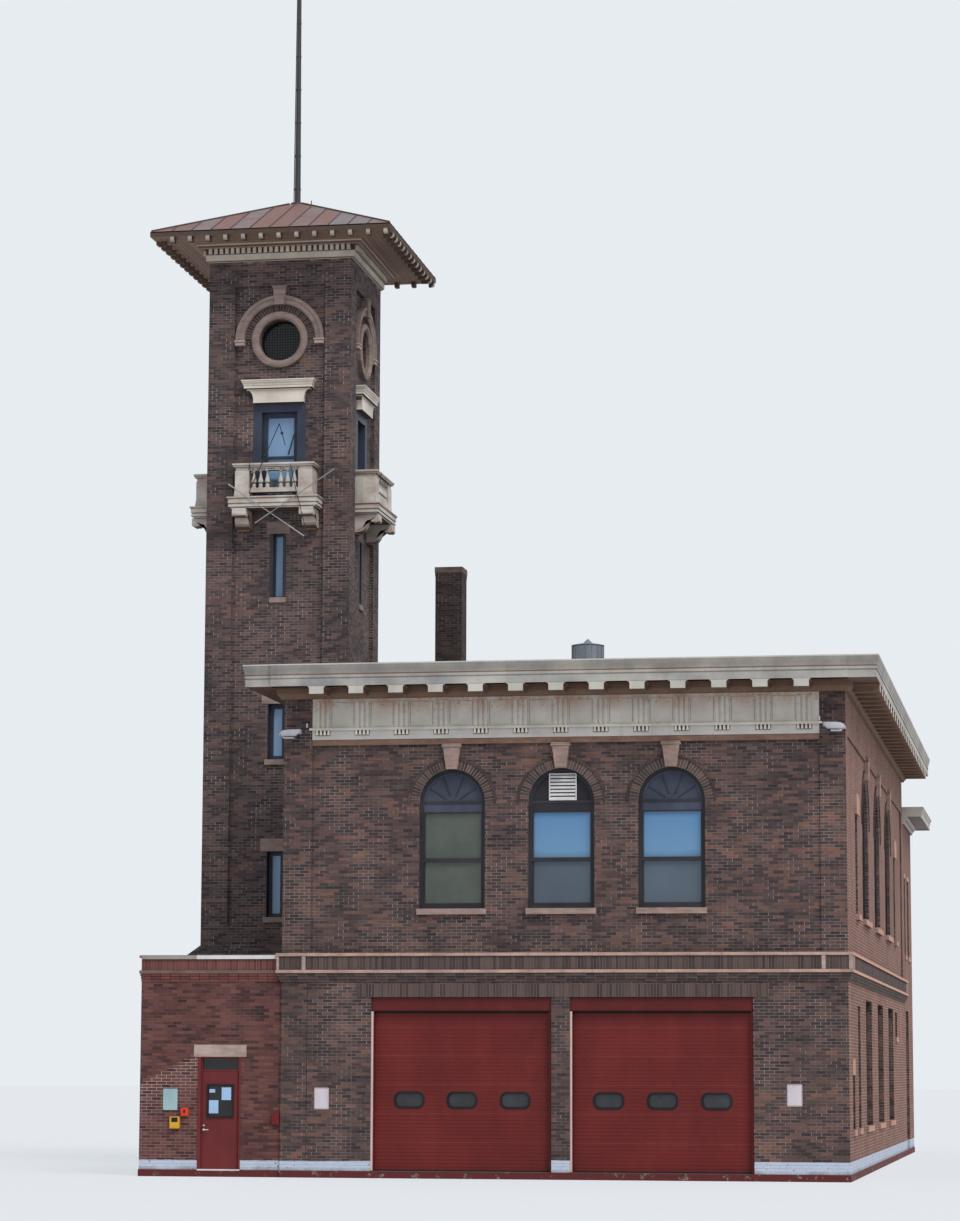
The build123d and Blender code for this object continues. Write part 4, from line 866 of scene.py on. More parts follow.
def brick_arches():
    """Ring of single bricks on end over each arched window, with a thin outer course."""
    bricks, beds = shapes(2)
    for window in arched_windows:
        wall, place, level = window.wall, window.place, window.head
        inner = window.width / 2
        outer = inner + arch_ring
        middle = (inner + outer) / 2
        face = -field_recess if wall is on_front else -side_recess
        beds.prism(wall, sector(place, level, outer, inner + 0.002), face - 0.05, face + 0.006)
        for start, end in turns(round(math.pi * middle / course), math.degrees(joint / middle) / 2):
            brick = sector(place, level, outer - 0.004, inner + 0.004, start, end, 1)
            bricks.prism(wall, brick, face, face + 0.014, chance.random())
        for start, end in turns(round(math.pi * outer / brick_length), 0.3):
            brick = sector(place, level, outer + 0.052, outer + 0.004, start, end, 4)
            bricks.prism(wall, brick, face, face + 0.034, chance.random() * 0.6)
    bricks.piece("arch_bricks", "ArchBrick", "brick", bevel=0.002)
    beds.piece("arch_mortar", "Mortar", "brick")


def arch_panels():
    """Boarded heads of the arched windows, with ribs like a fan, and the vent of the middle one."""
    panels, dark, ribs = shapes(3)
    depth = -window_setback - 0.045
    for window in arched_windows:
        wall, place, level = window.wall, window.place, window.head
        vented = window is front_windows[1]
        shape = dark if vented else panels
        radius = window.width / 2 - frame_border
        shape.prism(wall, arc_points(place, level, radius + 0.01, 0, 180, 40), depth - 0.02, depth)
        shape.prism(wall, sector(place, level, radius + 0.01, radius - 0.035), depth, depth + 0.03)
        shape.box(wall, place - radius, place + radius, level - 0.20, level + 0.012, depth, depth + 0.035)
        if vented:
            louvre(place + 0.02, level + 0.32, depth)
            continue
        for a in (math.radians(angle) for angle in (32, 68, 112, 148)):
            outline = [
                (place + radius * s * math.cos(a) - t * math.sin(a),
                 level + radius * s * math.sin(a) + t * math.cos(a))
                for s, t in rectangle(0.26, 0.93, -0.011, 0.011)
            ]
            ribs.prism(wall, outline, depth, depth + 0.022)
    panels.piece("arch_panels", "SlatePaint", "slate_paint", bevel=0.004)
    dark.piece("vent_panel", "DarkPanel", "slate_paint", bevel=0.004)
    ribs.piece("arch_ribs", "NavyPaint", "slate_paint", bevel=0.004)


def louvre(middle, level, depth):
    """White vent with a border and sloped blades over a dark back of painted shade."""
    shape, hole = shapes(2)
    wide, high, border, blades = 0.3, 0.29, 0.025, 7
    left, right, low, top = middle - wide, middle + wide, level - high, level + high
    # Dark plate behind the blades: painted shade of the space behind the vent.
    hole.box(on_front, left, right, low, top, depth, depth + 0.01)
    inner = rectangle(left + border, right - border, low + border, top - border)
    shape.ring(on_front, rectangle(left, right, low, top), inner, depth, depth + 0.06)
    pitch = 2 * (high - border) / blades
    for i in range(blades):
        foot = low + border + i * pitch
        blade = [(0.05, foot), (0.056, foot), (0.028, foot + pitch * 0.72), (0.022, foot + pitch * 0.72)]
        shape.prism(lambda a, v, u: on_front(u, v, depth + a), blade, left + border, right - border)
    shape.piece("louvre_vent", "WhiteMetal", "sign_white", bevel=0.003)
    hole.piece("louvre_back", "Rubber", "mast_metal")


def sashes():
    """Upper and lower sashes inside each window frame, the lower one set further back."""
    shape = Shape()
    stile, transom = 0.025, 0.20
    for window in arched_windows + square_windows:
        left, right = window.left + frame_border, window.right - frame_border
        foot = window.sill + frame_border
        head = window.head - (transom if window.arched else frame_border)
        rows = [(foot, head, -0.205)]
        if window.bars:
            rail = window.sill + window.bars[-1]
            rows = [(foot, rail + 0.02, -0.212), (rail, head, -0.19)]
        for low, high, depth in rows:
            shape.boxes(window.wall, (
                (left, left + stile, low, high), (right - stile, right, low, high),
                (left + stile, right - stile, low, low + 2 * stile),
                (left + stile, right - stile, high - stile, high),
            ), depth, depth + 0.03)
    shape.piece("window_sashes", "WindowPaint", "slate_paint", bevel=0.004)


def window_moulds():
    """Slim moulding that covers the joint between each window frame and the brick."""
    shape = Shape()
    wide = 0.04
    face, out = -window_setback, -window_setback + 0.035
    for window in arched_windows + square_windows:
        wall, left, right, head = window.wall, window.left, window.right, window.head
        sides = ((left, left + wide, window.sill, head), (right - wide, right, window.sill, head))
        shape.boxes(wall, sides, face, out)
        if window.arched:
            reach = window.width / 2
            shape.prism(wall, sector(window.place, head, reach, reach - wide), face, out)
        else:
            shape.box(wall, left + wide, right - wide, head - wide, head, face, out)
    shape.piece("window_moulds", "WindowPaint", "slate_paint", bevel=0.006)


def belt():
    """Corbels, soldiers, stone bands and dividers of the belt course, and the soldiers over the doors."""
    bricks, stones, dividers, beds = shapes(4)
    band_low = belt_low.z + 3 * corbel
    soldier_low, soldier_high = band_low + stone_band, belt_high.z - stone_band
    stone_length, gap = 1.35, 0.003
    for wall, start, end in (
        (on_front, -half - belt_out, half + belt_out),
        (on_right, -belt_out, main_depth),
        (on_left, base_high.y, main_depth),
    ):
        for i in range(3):
            out = belt_out * (i + 1) / 4
            first = max(start, -half - out) if wall is on_front else max(start, -out)
            last = min(end, half + out) if wall is on_front else end
            foot = belt_low.z + i * corbel
            brick_row(bricks, wall, first, last, foot, belt_low.z + (i + 1) * corbel, out - 0.02, out + 0.006,
                      brick_length)
        brick_row(bricks, wall, start + 0.02, end - 0.02, soldier_low, soldier_high, 0.07, 0.088, course)
        count = max(1, round((end - start) / stone_length))
        pitch = (end - start) / count
        for low in (band_low, soldier_high):
            for i in range(count):
                u = start + i * pitch
                stones.box(wall, u + gap, u + pitch - gap, low, low + stone_band,
                           0.05, belt_out + 0.004, chance.random())
    for wall, u, width in (
        (on_front, -6.165, 0.05), (on_front, -5.59, 0.083), (on_front, 5.59, 0.083), (on_front, 6.165, 0.09),
        (on_right, -0.06, 0.09), (on_right, 0.5, 0.083), (on_right, main_depth - 0.5, 0.083),
        (on_left, main_depth - 0.5, 0.083),
    ):
        dividers.box(wall, u - width / 2, u + width / 2, soldier_low, soldier_high, 0.05, belt_out - 0.004)
    left, right, foot, top = -4.45, 4.42, door_head + 0.002, 4.12
    brick_row(bricks, on_front, left, right, foot, top, -0.004, 0.010, course)
    beds.box(on_front, left, right, foot, top, -0.02, 0.003)
    beds.piece("door_row_mortar", "BeltMortar", "brick")
    bricks.piece("belt_bricks", "BeltBrick", "brick", bevel=0.002)
    stones.piece("belt_stones", "BeltStone", "sandstone", bevel=0.006)
    dividers.piece("belt_dividers", "PaleStone", "sandstone", bevel=0.004)


def annex_details():
    """Corbels, soldiers and flashing of the annex parapet."""
    bricks, beds = shapes(2)
    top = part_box("annex_coping")[1].z
    low, high = belt_low.z + 3 * corbel + stone_band, annex_top - 0.03
    for wall, start, end in (
        (on_annex, annex_low.x, -half - 0.1), (on_annex_side, annex_low.y, base_front_y),
    ):
        for i in range(3):
            brick_row(bricks, wall, start, end, belt_low.z + i * corbel, belt_low.z + (i + 1) * corbel,
                      -0.004, 0.011 * (i + 1), brick_length)
        beds.box(wall, start, end, low, high, -0.02, 0.003)
        brick_row(bricks, wall, start + 0.005, end, low, high, -0.004, 0.01, course)
    bricks.piece("annex_bricks", "AnnexRowBrick", "annex_brick", bevel=0.002)
    beds.piece("annex_row_mortar", "AnnexMortar", "annex_brick")
    old_end, end, face = -7.99, -6.22, 0.048
    for name, look, left, right in (
        ("annex_flashing", "WhiteMetal", old_end, end),
        ("annex_flashing_old", "GreyFlashing", annex_low.x, old_end),
    ):
        flashing = Shape()
        flashing.box(on_annex, left, right, top - 0.085, top - 0.002, face - 0.012, face)
        flashing.box(on_annex, left, right, top - 0.006, top + 0.002, -0.2, face)
        flashing.piece(name, look, "coping_metal")


def frieze_details():
    """Drops under the triglyphs over dark backings of painted shadow, panel lines, ends of the taenia, and
    the brown band below.
    """
    drops, shadow_backs, lines, band = shapes(4)
    foot = frieze_low.z
    taenia, half_back, drop_pitch, end, line = foot + 0.202, 0.165, 0.085, 0.065, 0.012
    for x in bays:
        # Dark backing behind each group of drops: painted shadow.
        shadow_backs.box(on_front, x - half_back, x + half_back, taenia - 0.11, taenia, 0.0, 0.03)
        for i in range(4):
            u = x + (i - 1.5) * drop_pitch
            low = taenia - 0.105
            drop = [(u - 0.03, low), (u + 0.03, low), (u + 0.017, taenia), (u - 0.017, taenia)]
            drops.prism(on_front, drop, 0.02, 0.058)
    for edge in (frieze_low.x - end, frieze_high.x):
        drops.box(on_front, edge, edge + end, taenia, taenia + 0.053, 0.0, 0.06)
    low, high = taenia + 0.11, frieze_high.z - 0.075
    for x in bays[:-1]:
        left, right = x + 0.185, x + bay - 0.185
        lines.boxes(on_front, (
            (left, left + line, low, high), (right - line, right, low, high),
            (left, right, high - 0.008, high),
        ), 0.01, 0.015)
    band.box(on_front, frieze_low.x, frieze_high.x, foot - 0.128, foot, -0.04, 0.012)
    drops.piece("frieze_drops", "HeadPaint", "cream_paint", bevel=0.004)
    shadow_backs.piece("frieze_drop_shadows", "PaintedShadow", "cream_paint")
    lines.piece("frieze_lines", "PanelLine", "cream_paint", bevel=0.001)
    band.piece("frieze_band", "BrownStone", "sandstone", bevel=0.006)


def keystone_caps():
    """Moulded tops of the keystones over the arched windows."""
    shape = Shape()
    over_window = 0.55
    for window in arched_windows:
        top = window.sill + window.height + over_window
        for wide, low, high, out in (
            (0.201, 0.10, 0.075, 0.076), (0.217, 0.075, 0.03, 0.088), (0.207, 0.03, 0.0, 0.08),
        ):
            left, right = window.place - wide, window.place + wide
            shape.box(window.wall, left, right, top - low, top - high, -0.05, out)
    shape.piece("keystone_caps", "Sandstone", "sandstone", bevel=0.008)


def main_cornice():
    """Bed, corona, rust line and top mould of the main cornice, a little further out over the front."""
    top, foot = cornice_high.z, cornice_low.z
    bed, corona, rust, mould, flange = shapes(5)
    profile = [(-0.02, foot), (0.07, foot)] + cyma(0.07, foot + 0.015, 0.135, foot + 0.105, 6)
    profile += [(0.15, foot + 0.115), (0.15, soffit_board), (-0.02, soffit_board)]
    bed.moulding(profile, cornice_path)
    bed.piece("cornice_bed", "BedWood", "cream_paint", smooth=35)
    centre_path = [((-6.25, 0), (0, -1)), ((6.2, 0), (0, -1))]
    corona_high = top_foot - 0.025
    for path, back, c in ((cornice_path, -0.35, corona_out - cornice_break), (centre_path, 0.5, corona_out)):
        out = c + 0.053
        corona.moulding([
            (back, soffit_board), (c, soffit_board), (c, corona_top), (c - 0.012, corona_top + 0.002),
            (c - 0.012, corona_top + 0.03), (c + 0.008, corona_top + 0.03), (c + 0.008, corona_high),
            (back, corona_high),
        ], path)
        rust.moulding(rectangle(back, c + 0.004, corona_high, top_foot), path)
        curve = cyma(c + 0.01, top_foot + 0.006, out - 0.008, top - 0.05)
        edge = [(out - 0.002, top - 0.036), (out - 0.002, top - 0.03), (back, top - 0.03)]
        mould.moulding([(back, top_foot), (c + 0.008, top_foot)] + curve + edge, path)
        flange.moulding(rectangle(back, out, top - 0.031, top - 0.001), path)
    corona.piece("cornice_corona", "CoronaPaint", "cream_paint", smooth=35, replaces=("main_cornice",))
    rust.piece("cornice_rust_line", "RustLine", "cream_paint")
    mould.piece("cornice_top_mould", "TopMouldPaint", "cream_paint", smooth=35)
    flange.piece("cornice_flange", "FlangePaint", "cream_paint")


def modillions():
    """Brackets under the soffit: brown blocks whose sides flare out to it, with cream faces; the brown of the
    sides is painted shade.
    """
    blocks, faces = shapes(2)
    foot, flare, lip, drop = 0.16, 0.045, 0.014, 0.175
    side = [(foot + flare, 0.0), (foot + flare, -lip)]
    for a in (0.4, 0.8, 1.2, 1.5708):
        side.append((foot + flare * (1 - math.sin(a)), -lip - flare * (1 - math.cos(a))))
    outline = both_sides(side + [(foot, -drop)])
    front_far, side_far = 0.728, 0.70
    count = int((main_depth - 0.68) // bay)
    side_bays = [main_depth / 2 + (i - count / 2) * bay for i in range(count + 1)]
    places = [(on_front, x, front_far) for x in bays] + [(on_main_rear, x, side_far) for x in bays]
    places += [(on_right, y, side_far) for y in side_bays]
    places += [(on_left, y, side_far) for y in side_bays if y > tower_back_y + 0.34]
    for wall, place, far in places:
        block = [(place + u, soffit_board + v) for u, v in outline]
        # Brown block bodies: painted shade on the sides and bottoms; cream faces in front.
        blocks.prism(wall, block, 0.15, far)
        faces.prism(wall, block, far - 0.001, far + 0.008)
    blocks.piece("modillion_blocks", "BedWood", "cream_paint", bevel=0.006, replaces=("cornice_modillions",))
    faces.piece("modillion_faces", "CreamClean", "cream_paint", bevel=0.003)


def rear_cornice():
    """Smaller cornice of the rear block on its three free sides."""
    top = rear_cornice_high.z
    out = rear_cornice_high.x - half
    foot = top - 0.27
    bed = foot - 0.2
    profile = [(-0.35, top - 0.002), (-0.35, bed), (0.06, bed)] + cyma(0.06, bed + 0.03, 0.14, foot - 0.03, 6)
    profile += [(0.15, foot), (out - 0.09, foot), (out - 0.09, foot - 0.03), (out - 0.05, foot - 0.03)]
    profile += [(out - 0.05, top - 0.14), (out - 0.04, top - 0.135)]
    profile += cyma(out - 0.045, top - 0.125, out - 0.01, top - 0.035) + [(out, top - 0.03), (out, top)]
    path = [((half, main_depth), (1, 0)), ((half, back_y), (1, 1)),
            ((-half, back_y), (-1, 1)), ((-half, main_depth), (-1, 0))]
    shape = Shape()
    shape.moulding(profile, path)
    shape.piece("rear_cornice_mould", "CreamPaint", "cream_paint", smooth=35, replaces=("rear_cornice",))


def garage_doors():
    """Ribs, section joints, porthole rims, seals, trims and header borders of the two garage doors."""
    ribs, joints, rims, trims, borders = shapes(5)
    rib_count, rib_height, first_rib = 8, 0.05, 0.016
    inset, trim, border, side_border = 0.062, 0.045, 0.022, 0.03
    for left, right in door_spans:
        middle = (left + right) / 2
        left_edge, right_edge = left + inset, right - inset
        level = sill_level
        while level < header_foot:
            for i in range(rib_count):
                foot = level + first_rib + i * section / rib_count
                head = foot + rib_height
                if foot + 0.07 < header_foot:
                    for u0, u1 in rib_runs(left_edge, right_edge, foot, head, middle):
                        ribs.box(on_front, u0, u1, foot, head, door_face - 0.002, door_face + 0.006)
            if level > sill_level:
                joints.box(on_front, left_edge, right_edge, level - 0.006, level + 0.010,
                           door_face - 0.004, door_face + 0.008)
            level += section
        for i in (-1, 0, 1):
            place = middle + i * porthole_pitch
            rims.ring(on_front, rounded(place, porthole_level, 0.665, 0.365, 0.15),
                      rounded(place, porthole_level, 0.575, 0.27, 0.11), door_face - 0.002, door_face + 0.016)
        trims.box(on_front, left + 0.0005, left + trim, sill_level + 0.01, header_foot - 0.01,
                  door_face + 0.118, door_face + 0.17)
        for low, high, out in (
            (sill_level, sill_level + 0.035, 0.02), (header_foot - 0.05, header_foot - 0.001, 0.03),
        ):
            rims.box(on_front, left_edge, right_edge, low, high, door_face - 0.01, door_face + out)
        low, high = header_foot + 0.005, door_head - 0.008
        borders.boxes(on_front, (
            (left, right, high - border, high), (left, right, low, low + border),
            (left, left + side_border, low, high), (right - side_border, right, low, high),
        ), -0.06, -0.048)
    ribs.piece("garage_door_ribs", "BarnRed", "barn_red", bevel=0.0025)
    joints.piece("garage_door_joints", "JointRed", "barn_red", bevel=0.003)
    rims.piece("porthole_rims", "Rubber", "mast_metal", bevel=0.004)
    trims.piece("garage_jamb_trim", "PinkTrim", "sign_white", bevel=0.004)
    borders.piece("header_borders", "TrimRed", "door_trim", bevel=0.004)


def rib_runs(left, right, foot, head, middle):
    """Stretches of one rib that miss the three portholes."""
    clear_up, clear_along = 0.21, 0.36
    if foot > porthole_level + clear_up or head < porthole_level - clear_up:
        return [(left, right)]
    edges = [left]
    for i in (-1, 0, 1):
        edges += [middle + i * porthole_pitch - clear_along, middle + i * porthole_pitch + clear_along]
    edges.append(right)
    return list(zip(edges[0::2], edges[1::2]))


def man_door_details():
    """Beads and sheets of paper of the man door, its lever and lock, its casing and its threshold."""
    beads, papers, lever, lock, sill, casing = shapes(6)
    leaf_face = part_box("man_door_leaf")[0].y

    def place(u, v, w):
        return (u, leaf_face - w, v)
    left, right, low, high = door_window
    bead = 0.03
    outer = rectangle(left - bead, right + bead, low - bead, high + bead)
    beads.ring(place, outer, rectangle(left, right, low, high), -0.001, 0.008)
    for u, v, wide, tall in (
        (-7.59, 1.49, 0.21, 0.28), (-7.31, 1.77, 0.21, 0.27), (-7.625, 1.83, 0.13, 0.075),
    ):
        papers.box(place, u - wide / 2, u + wide / 2, v - tall / 2, v + tall / 2, -0.015, -0.014)
    x, level = handle_place
    for radius, rise, shape in ((0.026, 0.0, lever), (0.020, 0.09, lock)):
        shape.turned(lambda a, b, h, rise=rise: place(x + a, level + rise + b, h),
                     [(0.0001, 0), (radius, 0), (radius - 0.002, 0.012), (0.0001, 0.014)], 16)
    lever.rod(place(x, level, 0.01), place(x, level, 0.05), 0.010, 12)
    lever.rod(place(x - 0.012, level, 0.045), place(x + 0.115, level - 0.002, 0.045), 0.011, 12)
    sill.box(on_annex, -7.93, -6.99, sill_level - 0.02, sill_level + 0.012, -0.12, 0.02)
    casing_low, casing_high = sill_level + 0.012, 2.56
    sides = ((-7.935, -7.872, casing_low, casing_high), (-7.022, -6.985, casing_low, casing_high))
    casing.boxes(on_annex, sides, -0.03, 0.012)
    beads.piece("man_door_beads", "Rubber", "mast_metal", body="man_door", bevel=0.002)
    papers.piece("door_papers", "Paper", "sign_white", body="man_door")
    lever.piece("man_door_lever", "SignWhite", "handle_steel", body="man_door", smooth=40,
                replaces=("man_door_handle",))
    lock.piece("man_door_lock", "SignWhite", "handle_steel", body="man_door", smooth=30)
    casing.piece("man_door_casing", "ManDoorRed", "door_trim", bevel=0.003)
    sill.piece("man_door_threshold", "WhiteMetal", "coping_metal", bevel=0.003)


def wall_upright_lines():
    """Two thin upright lines in the wall left of the garage doors, one dark and one pale."""
    for name, look, x, width in (
        ("dark_upright_line", "Rubber", -5.52, 0.014), ("pale_upright_line", "PaleLine", -4.54, 0.012),
    ):
        shape = Shape()
        shape.box(on_front, x - width / 2, x + width / 2, 0.43, belt_low.z, -0.01, 0.002)
        shape.piece(name, look, "brick")


def wall_fittings():
    """Bare signs, boxes and alarm housing on the front walls, with screws and faces."""
    plates, lines, green, screws, dark = shapes(5)
    for wall, x, level, plate in (
        (on_front, -5.186, 1.6785, plates), (on_front, 4.95, 1.7885, plates),
        (on_annex, -8.545, 1.645, green),
    ):
        plate.prism(wall, rounded(x, level, 0.32, 0.457, 0.025), 0.002, 0.009)
        if plate is plates:
            lines.ring(wall, rounded(x, level, 0.30, 0.437, 0.02), rounded(x, level, 0.285, 0.422, 0.016),
                       0.0085, 0.0098)
        for v in (level - 0.2, level + 0.2):
            screws.turned(lambda a, b, h, x=x, v=v, wall=wall: wall(x + a, v + b, h),
                          [(0.0001, 0.008), (0.009, 0.008), (0.007, 0.014), (0.0001, 0.014)], 10)
    plates.piece("bare_signs", "SignWhite", "sign_white", replaces=("sign_plates",))
    lines.piece("sign_borders", "SignLine", "sign_white")
    green.piece("annex_sign", "SignGreen", "sign_white")
    for name, look, x, level, width, height, depth, names in (
        ("orange_box", "OrangePaint", -8.21, 1.38, 0.165, 0.18, 0.08, ("wall_boxes",)),
        ("yellow_box", "YellowPaint", -8.425, 1.15, 0.215, 0.255, 0.10, ()),
        ("alarm_box", "AlarmRed", -6.195, 1.238, 0.17, 0.255, 0.09, ()),
    ):
        housing = Shape()
        housing.prism(on_annex, rounded(x, level, width, height, 0.015), 0, depth)
        housing.prism(on_annex, rounded(x, level, width - 0.03, height - 0.03, 0.012), depth, depth + 0.008)
        housing.piece(name, look, "fittings", bevel=0.004, replaces=names)
    dark.prism(on_annex, rounded(-8.42, 1.21, 0.14, 0.1, 0.01), 0.105, 0.1095)
    dark.prism(on_annex, rounded(-8.21, 1.39, 0.045, 0.075, 0.008), 0.085, 0.0885)
    dark.piece("box_windows", "Rubber", "mast_metal")
    screws.piece("sign_screws", "HandleSteel", "handle_steel")


def floodlights():
    """Wall lamps: a hood that reaches sideways over a lens, on an arm with a wall plate, with a dark plate of
    painted shade under each hood.
    """
    hoods, lenses, shades = shapes(3)
    hood = [(0.225, 0.10), (0.23, 0.03), (0.16, -0.055), (-0.13, -0.06), (-0.2, -0.045), (-0.225, 0.0),
            (-0.215, 0.045), (-0.15, 0.08), (-0.04, 0.095)]
    level = 9.5
    for x, side in ((-5.9, 1), (5.87, -1)):
        def place(u, v, w, x=x, side=side):
            return (x + side * u, -w, level + v)
        hoods.loft([
            [place(u * share, 0.01 + v * share, out) for u, v in hood]
            for out, share in ((0.12, 0.8), (0.135, 1.0), (0.31, 1.0), (0.335, 0.9), (0.345, 0.7))
        ])
        hoods.rod(place(0, 0, 0), place(0, 0, 0.14), 0.025, 12)
        hoods.prism(on_front, rounded(x, level, 0.13, 0.13, 0.03), 0.0, 0.02)
        lenses.prism(place, [(-0.14, -0.085), (0.06, -0.085), (0.08, -0.055), (-0.17, -0.055)], 0.15, 0.32)
        lenses.box(place, -0.237, -0.226, -0.035, 0.03, 0.15, 0.31)
        bar = x + side * 0.32
        lenses.box(on_front, bar - 0.015, bar + 0.015, 9.665, 9.76, 0.0, 0.05)
        # Dark plate under the hood: painted shade.
        shades.prism(place, [(-0.13, -0.0605), (0.155, -0.0555), (0.21, 0.0), (0.0, -0.02)], 0.128, 0.336)
    hoods.piece("lamp_hoods", "LampMetal", "fittings", smooth=40, replaces=("floodlights",))
    shades.piece("lamp_underside_shade", "MastMetal", "fittings")
    lenses.piece("lamp_lenses", "SignWhite", "fittings", bevel=0.006)


def tower_stones():
    """Rings, hoods, keystones, imposts, lintels, sills, slit frames and moulded door heads of the tower."""
    stones, pale, heads, frames = shapes(4)
    back, panel = -panel_recess - 0.02, -panel_recess
    edge = oculus_radius + oculus_ring
    ring = [(oculus_radius, back), (oculus_radius, -0.01), (oculus_radius + 0.03, 0.02),
            (oculus_radius + 0.07, 0.045), (oculus_radius + 0.13, 0.045), (edge, 0.02), (edge, back)]
    hood = [(hood_inner, back), (hood_inner, 0.0), (hood_inner + 0.03, 0.03), (hood_inner + 0.12, 0.03),
            (hood_inner + 0.14, 0.055), (hood_outer, 0.06), (hood_outer, back)]
    key_foot, key_top = oculus_level + hood_inner - 0.02, oculus_level + hood_inner + 0.45
    key = both_sides([(0.12, key_foot), (0.155, key_top - 0.07)])
    for face in tower_faces:
        def round_place(a, b, h, face=face):
            return face(a, oculus_level + b, h)
        stones.turned(round_place, ring, 64)
        stones.turned(round_place, hood, 48, math.pi)
        stones.prism(face, key, back, 0.09)
        stones.box(face, -0.17, 0.17, key_top - 0.07, key_top - 0.03, back, 0.095)
        stones.box(face, -0.19, 0.19, key_top - 0.03, key_top, back, 0.10)
        for side in (-1, 1):
            middle = side * (hood_inner + hood_outer) / 2
            for wide, low, high, out in ((0.13, 0.045, 0.0, 0.085), (0.115, 0.13, 0.045, 0.065)):
                foot, top = oculus_level - low, oculus_level - high
                pale.box(face, middle - wide, middle + wide, foot, top, back, out)
        for sill, height, width in slits[:1] if face is on_tower_right else slits:
            head, reach = sill + height, width / 2
            stones.box(face, -reach - 0.15, reach + 0.15, head, head + 0.3, back, panel + 0.012)
            stones.box(face, -reach - 0.065, reach + 0.065, sill - 0.13, sill, back, panel + 0.045)
            rim = 0.06 if width < 0.3 else 0.0
            for u0, u1 in ((-reach - rim, 0.02 - reach), (reach - 0.02, reach + rim)):
                frames.box(face, u0, u1, sill, head, back - 0.05, panel + 0.004)
        head_moulding(heads, face, back)
    stones.piece("tower_stones", "TowerStone", "sandstone", bevel=0.006, smooth=30,
                 replaces=("tower_stone_trim",))
    pale.piece("tower_imposts", "PaleStone", "sandstone", bevel=0.006)
    frames.piece("slit_frames", "WindowPaint", "slate_paint", bevel=0.004)
    heads.piece("tower_door_heads", "HeadPaint", "cream_paint", smooth=35)


def head_moulding(shape, face, back):
    """Moulded head over a balcony door: a flared block under a curved mould."""
    foot = tower_door_top
    block, top = foot + 0.30, foot + 0.55
    side = [(0.627, foot), (0.622, foot + 0.05), (0.63, foot + 0.14), (0.66, foot + 0.23), (0.725, block)]
    shape.prism(face, both_sides(side), back, 0.06)
    profile = [(back, block), (0.07, block), (0.07, block + 0.03), (0.085, block + 0.04),
               (0.13, block + 0.05), (0.13, block + 0.11), (0.14, block + 0.115)]
    profile += cyma(0.14, block + 0.12, 0.18, top - 0.03, 6) + [(0.19, top - 0.028), (0.19, top), (back, top)]
    wide = 0.713
    shape.loft([
        [face(side * (wide + max(out, 0)), level, out if front else back) for out, level in profile]
        for side, front in shelf_corners
    ])


def tower_bricks():
    """Fans of single bricks between the round openings and their hoods, with dark mesh in the openings."""
    bricks, beds, mesh = shapes(3)
    inner = oculus_radius + oculus_ring
    fan = turns(round(math.pi * (inner + hood_inner) / 2 / course), 0.42)
    panel, spacing, wire = -panel_recess, 0.065, 0.004
    for face in tower_faces:
        beds.prism(face, sector(0, oculus_level, hood_inner, inner), panel - 0.02, panel + 0.008)
        for start, end in fan:
            outline = sector(0, oculus_level, hood_inner, inner, start, end, 1)
            bricks.prism(face, outline, panel, panel + 0.018, chance.random() * 0.8)
        for i in range(-7, 8):
            u = i * spacing
            level = oculus_level + u
            reach = math.sqrt((oculus_radius - 0.005) ** 2 - u * u)
            mesh.box(face, u - wire, u + wire, oculus_level - reach, oculus_level + reach, -0.28, -0.272)
            mesh.box(face, -reach, reach, level - wire, level + wire, -0.272, -0.264)
    bricks.piece("tower_fan_bricks", "ArchBrick", "brick", bevel=0.002)
    beds.piece("tower_fan_mortar", "Mortar", "brick")
    mesh.piece("oculus_screens", "Rubber", "mast_metal")


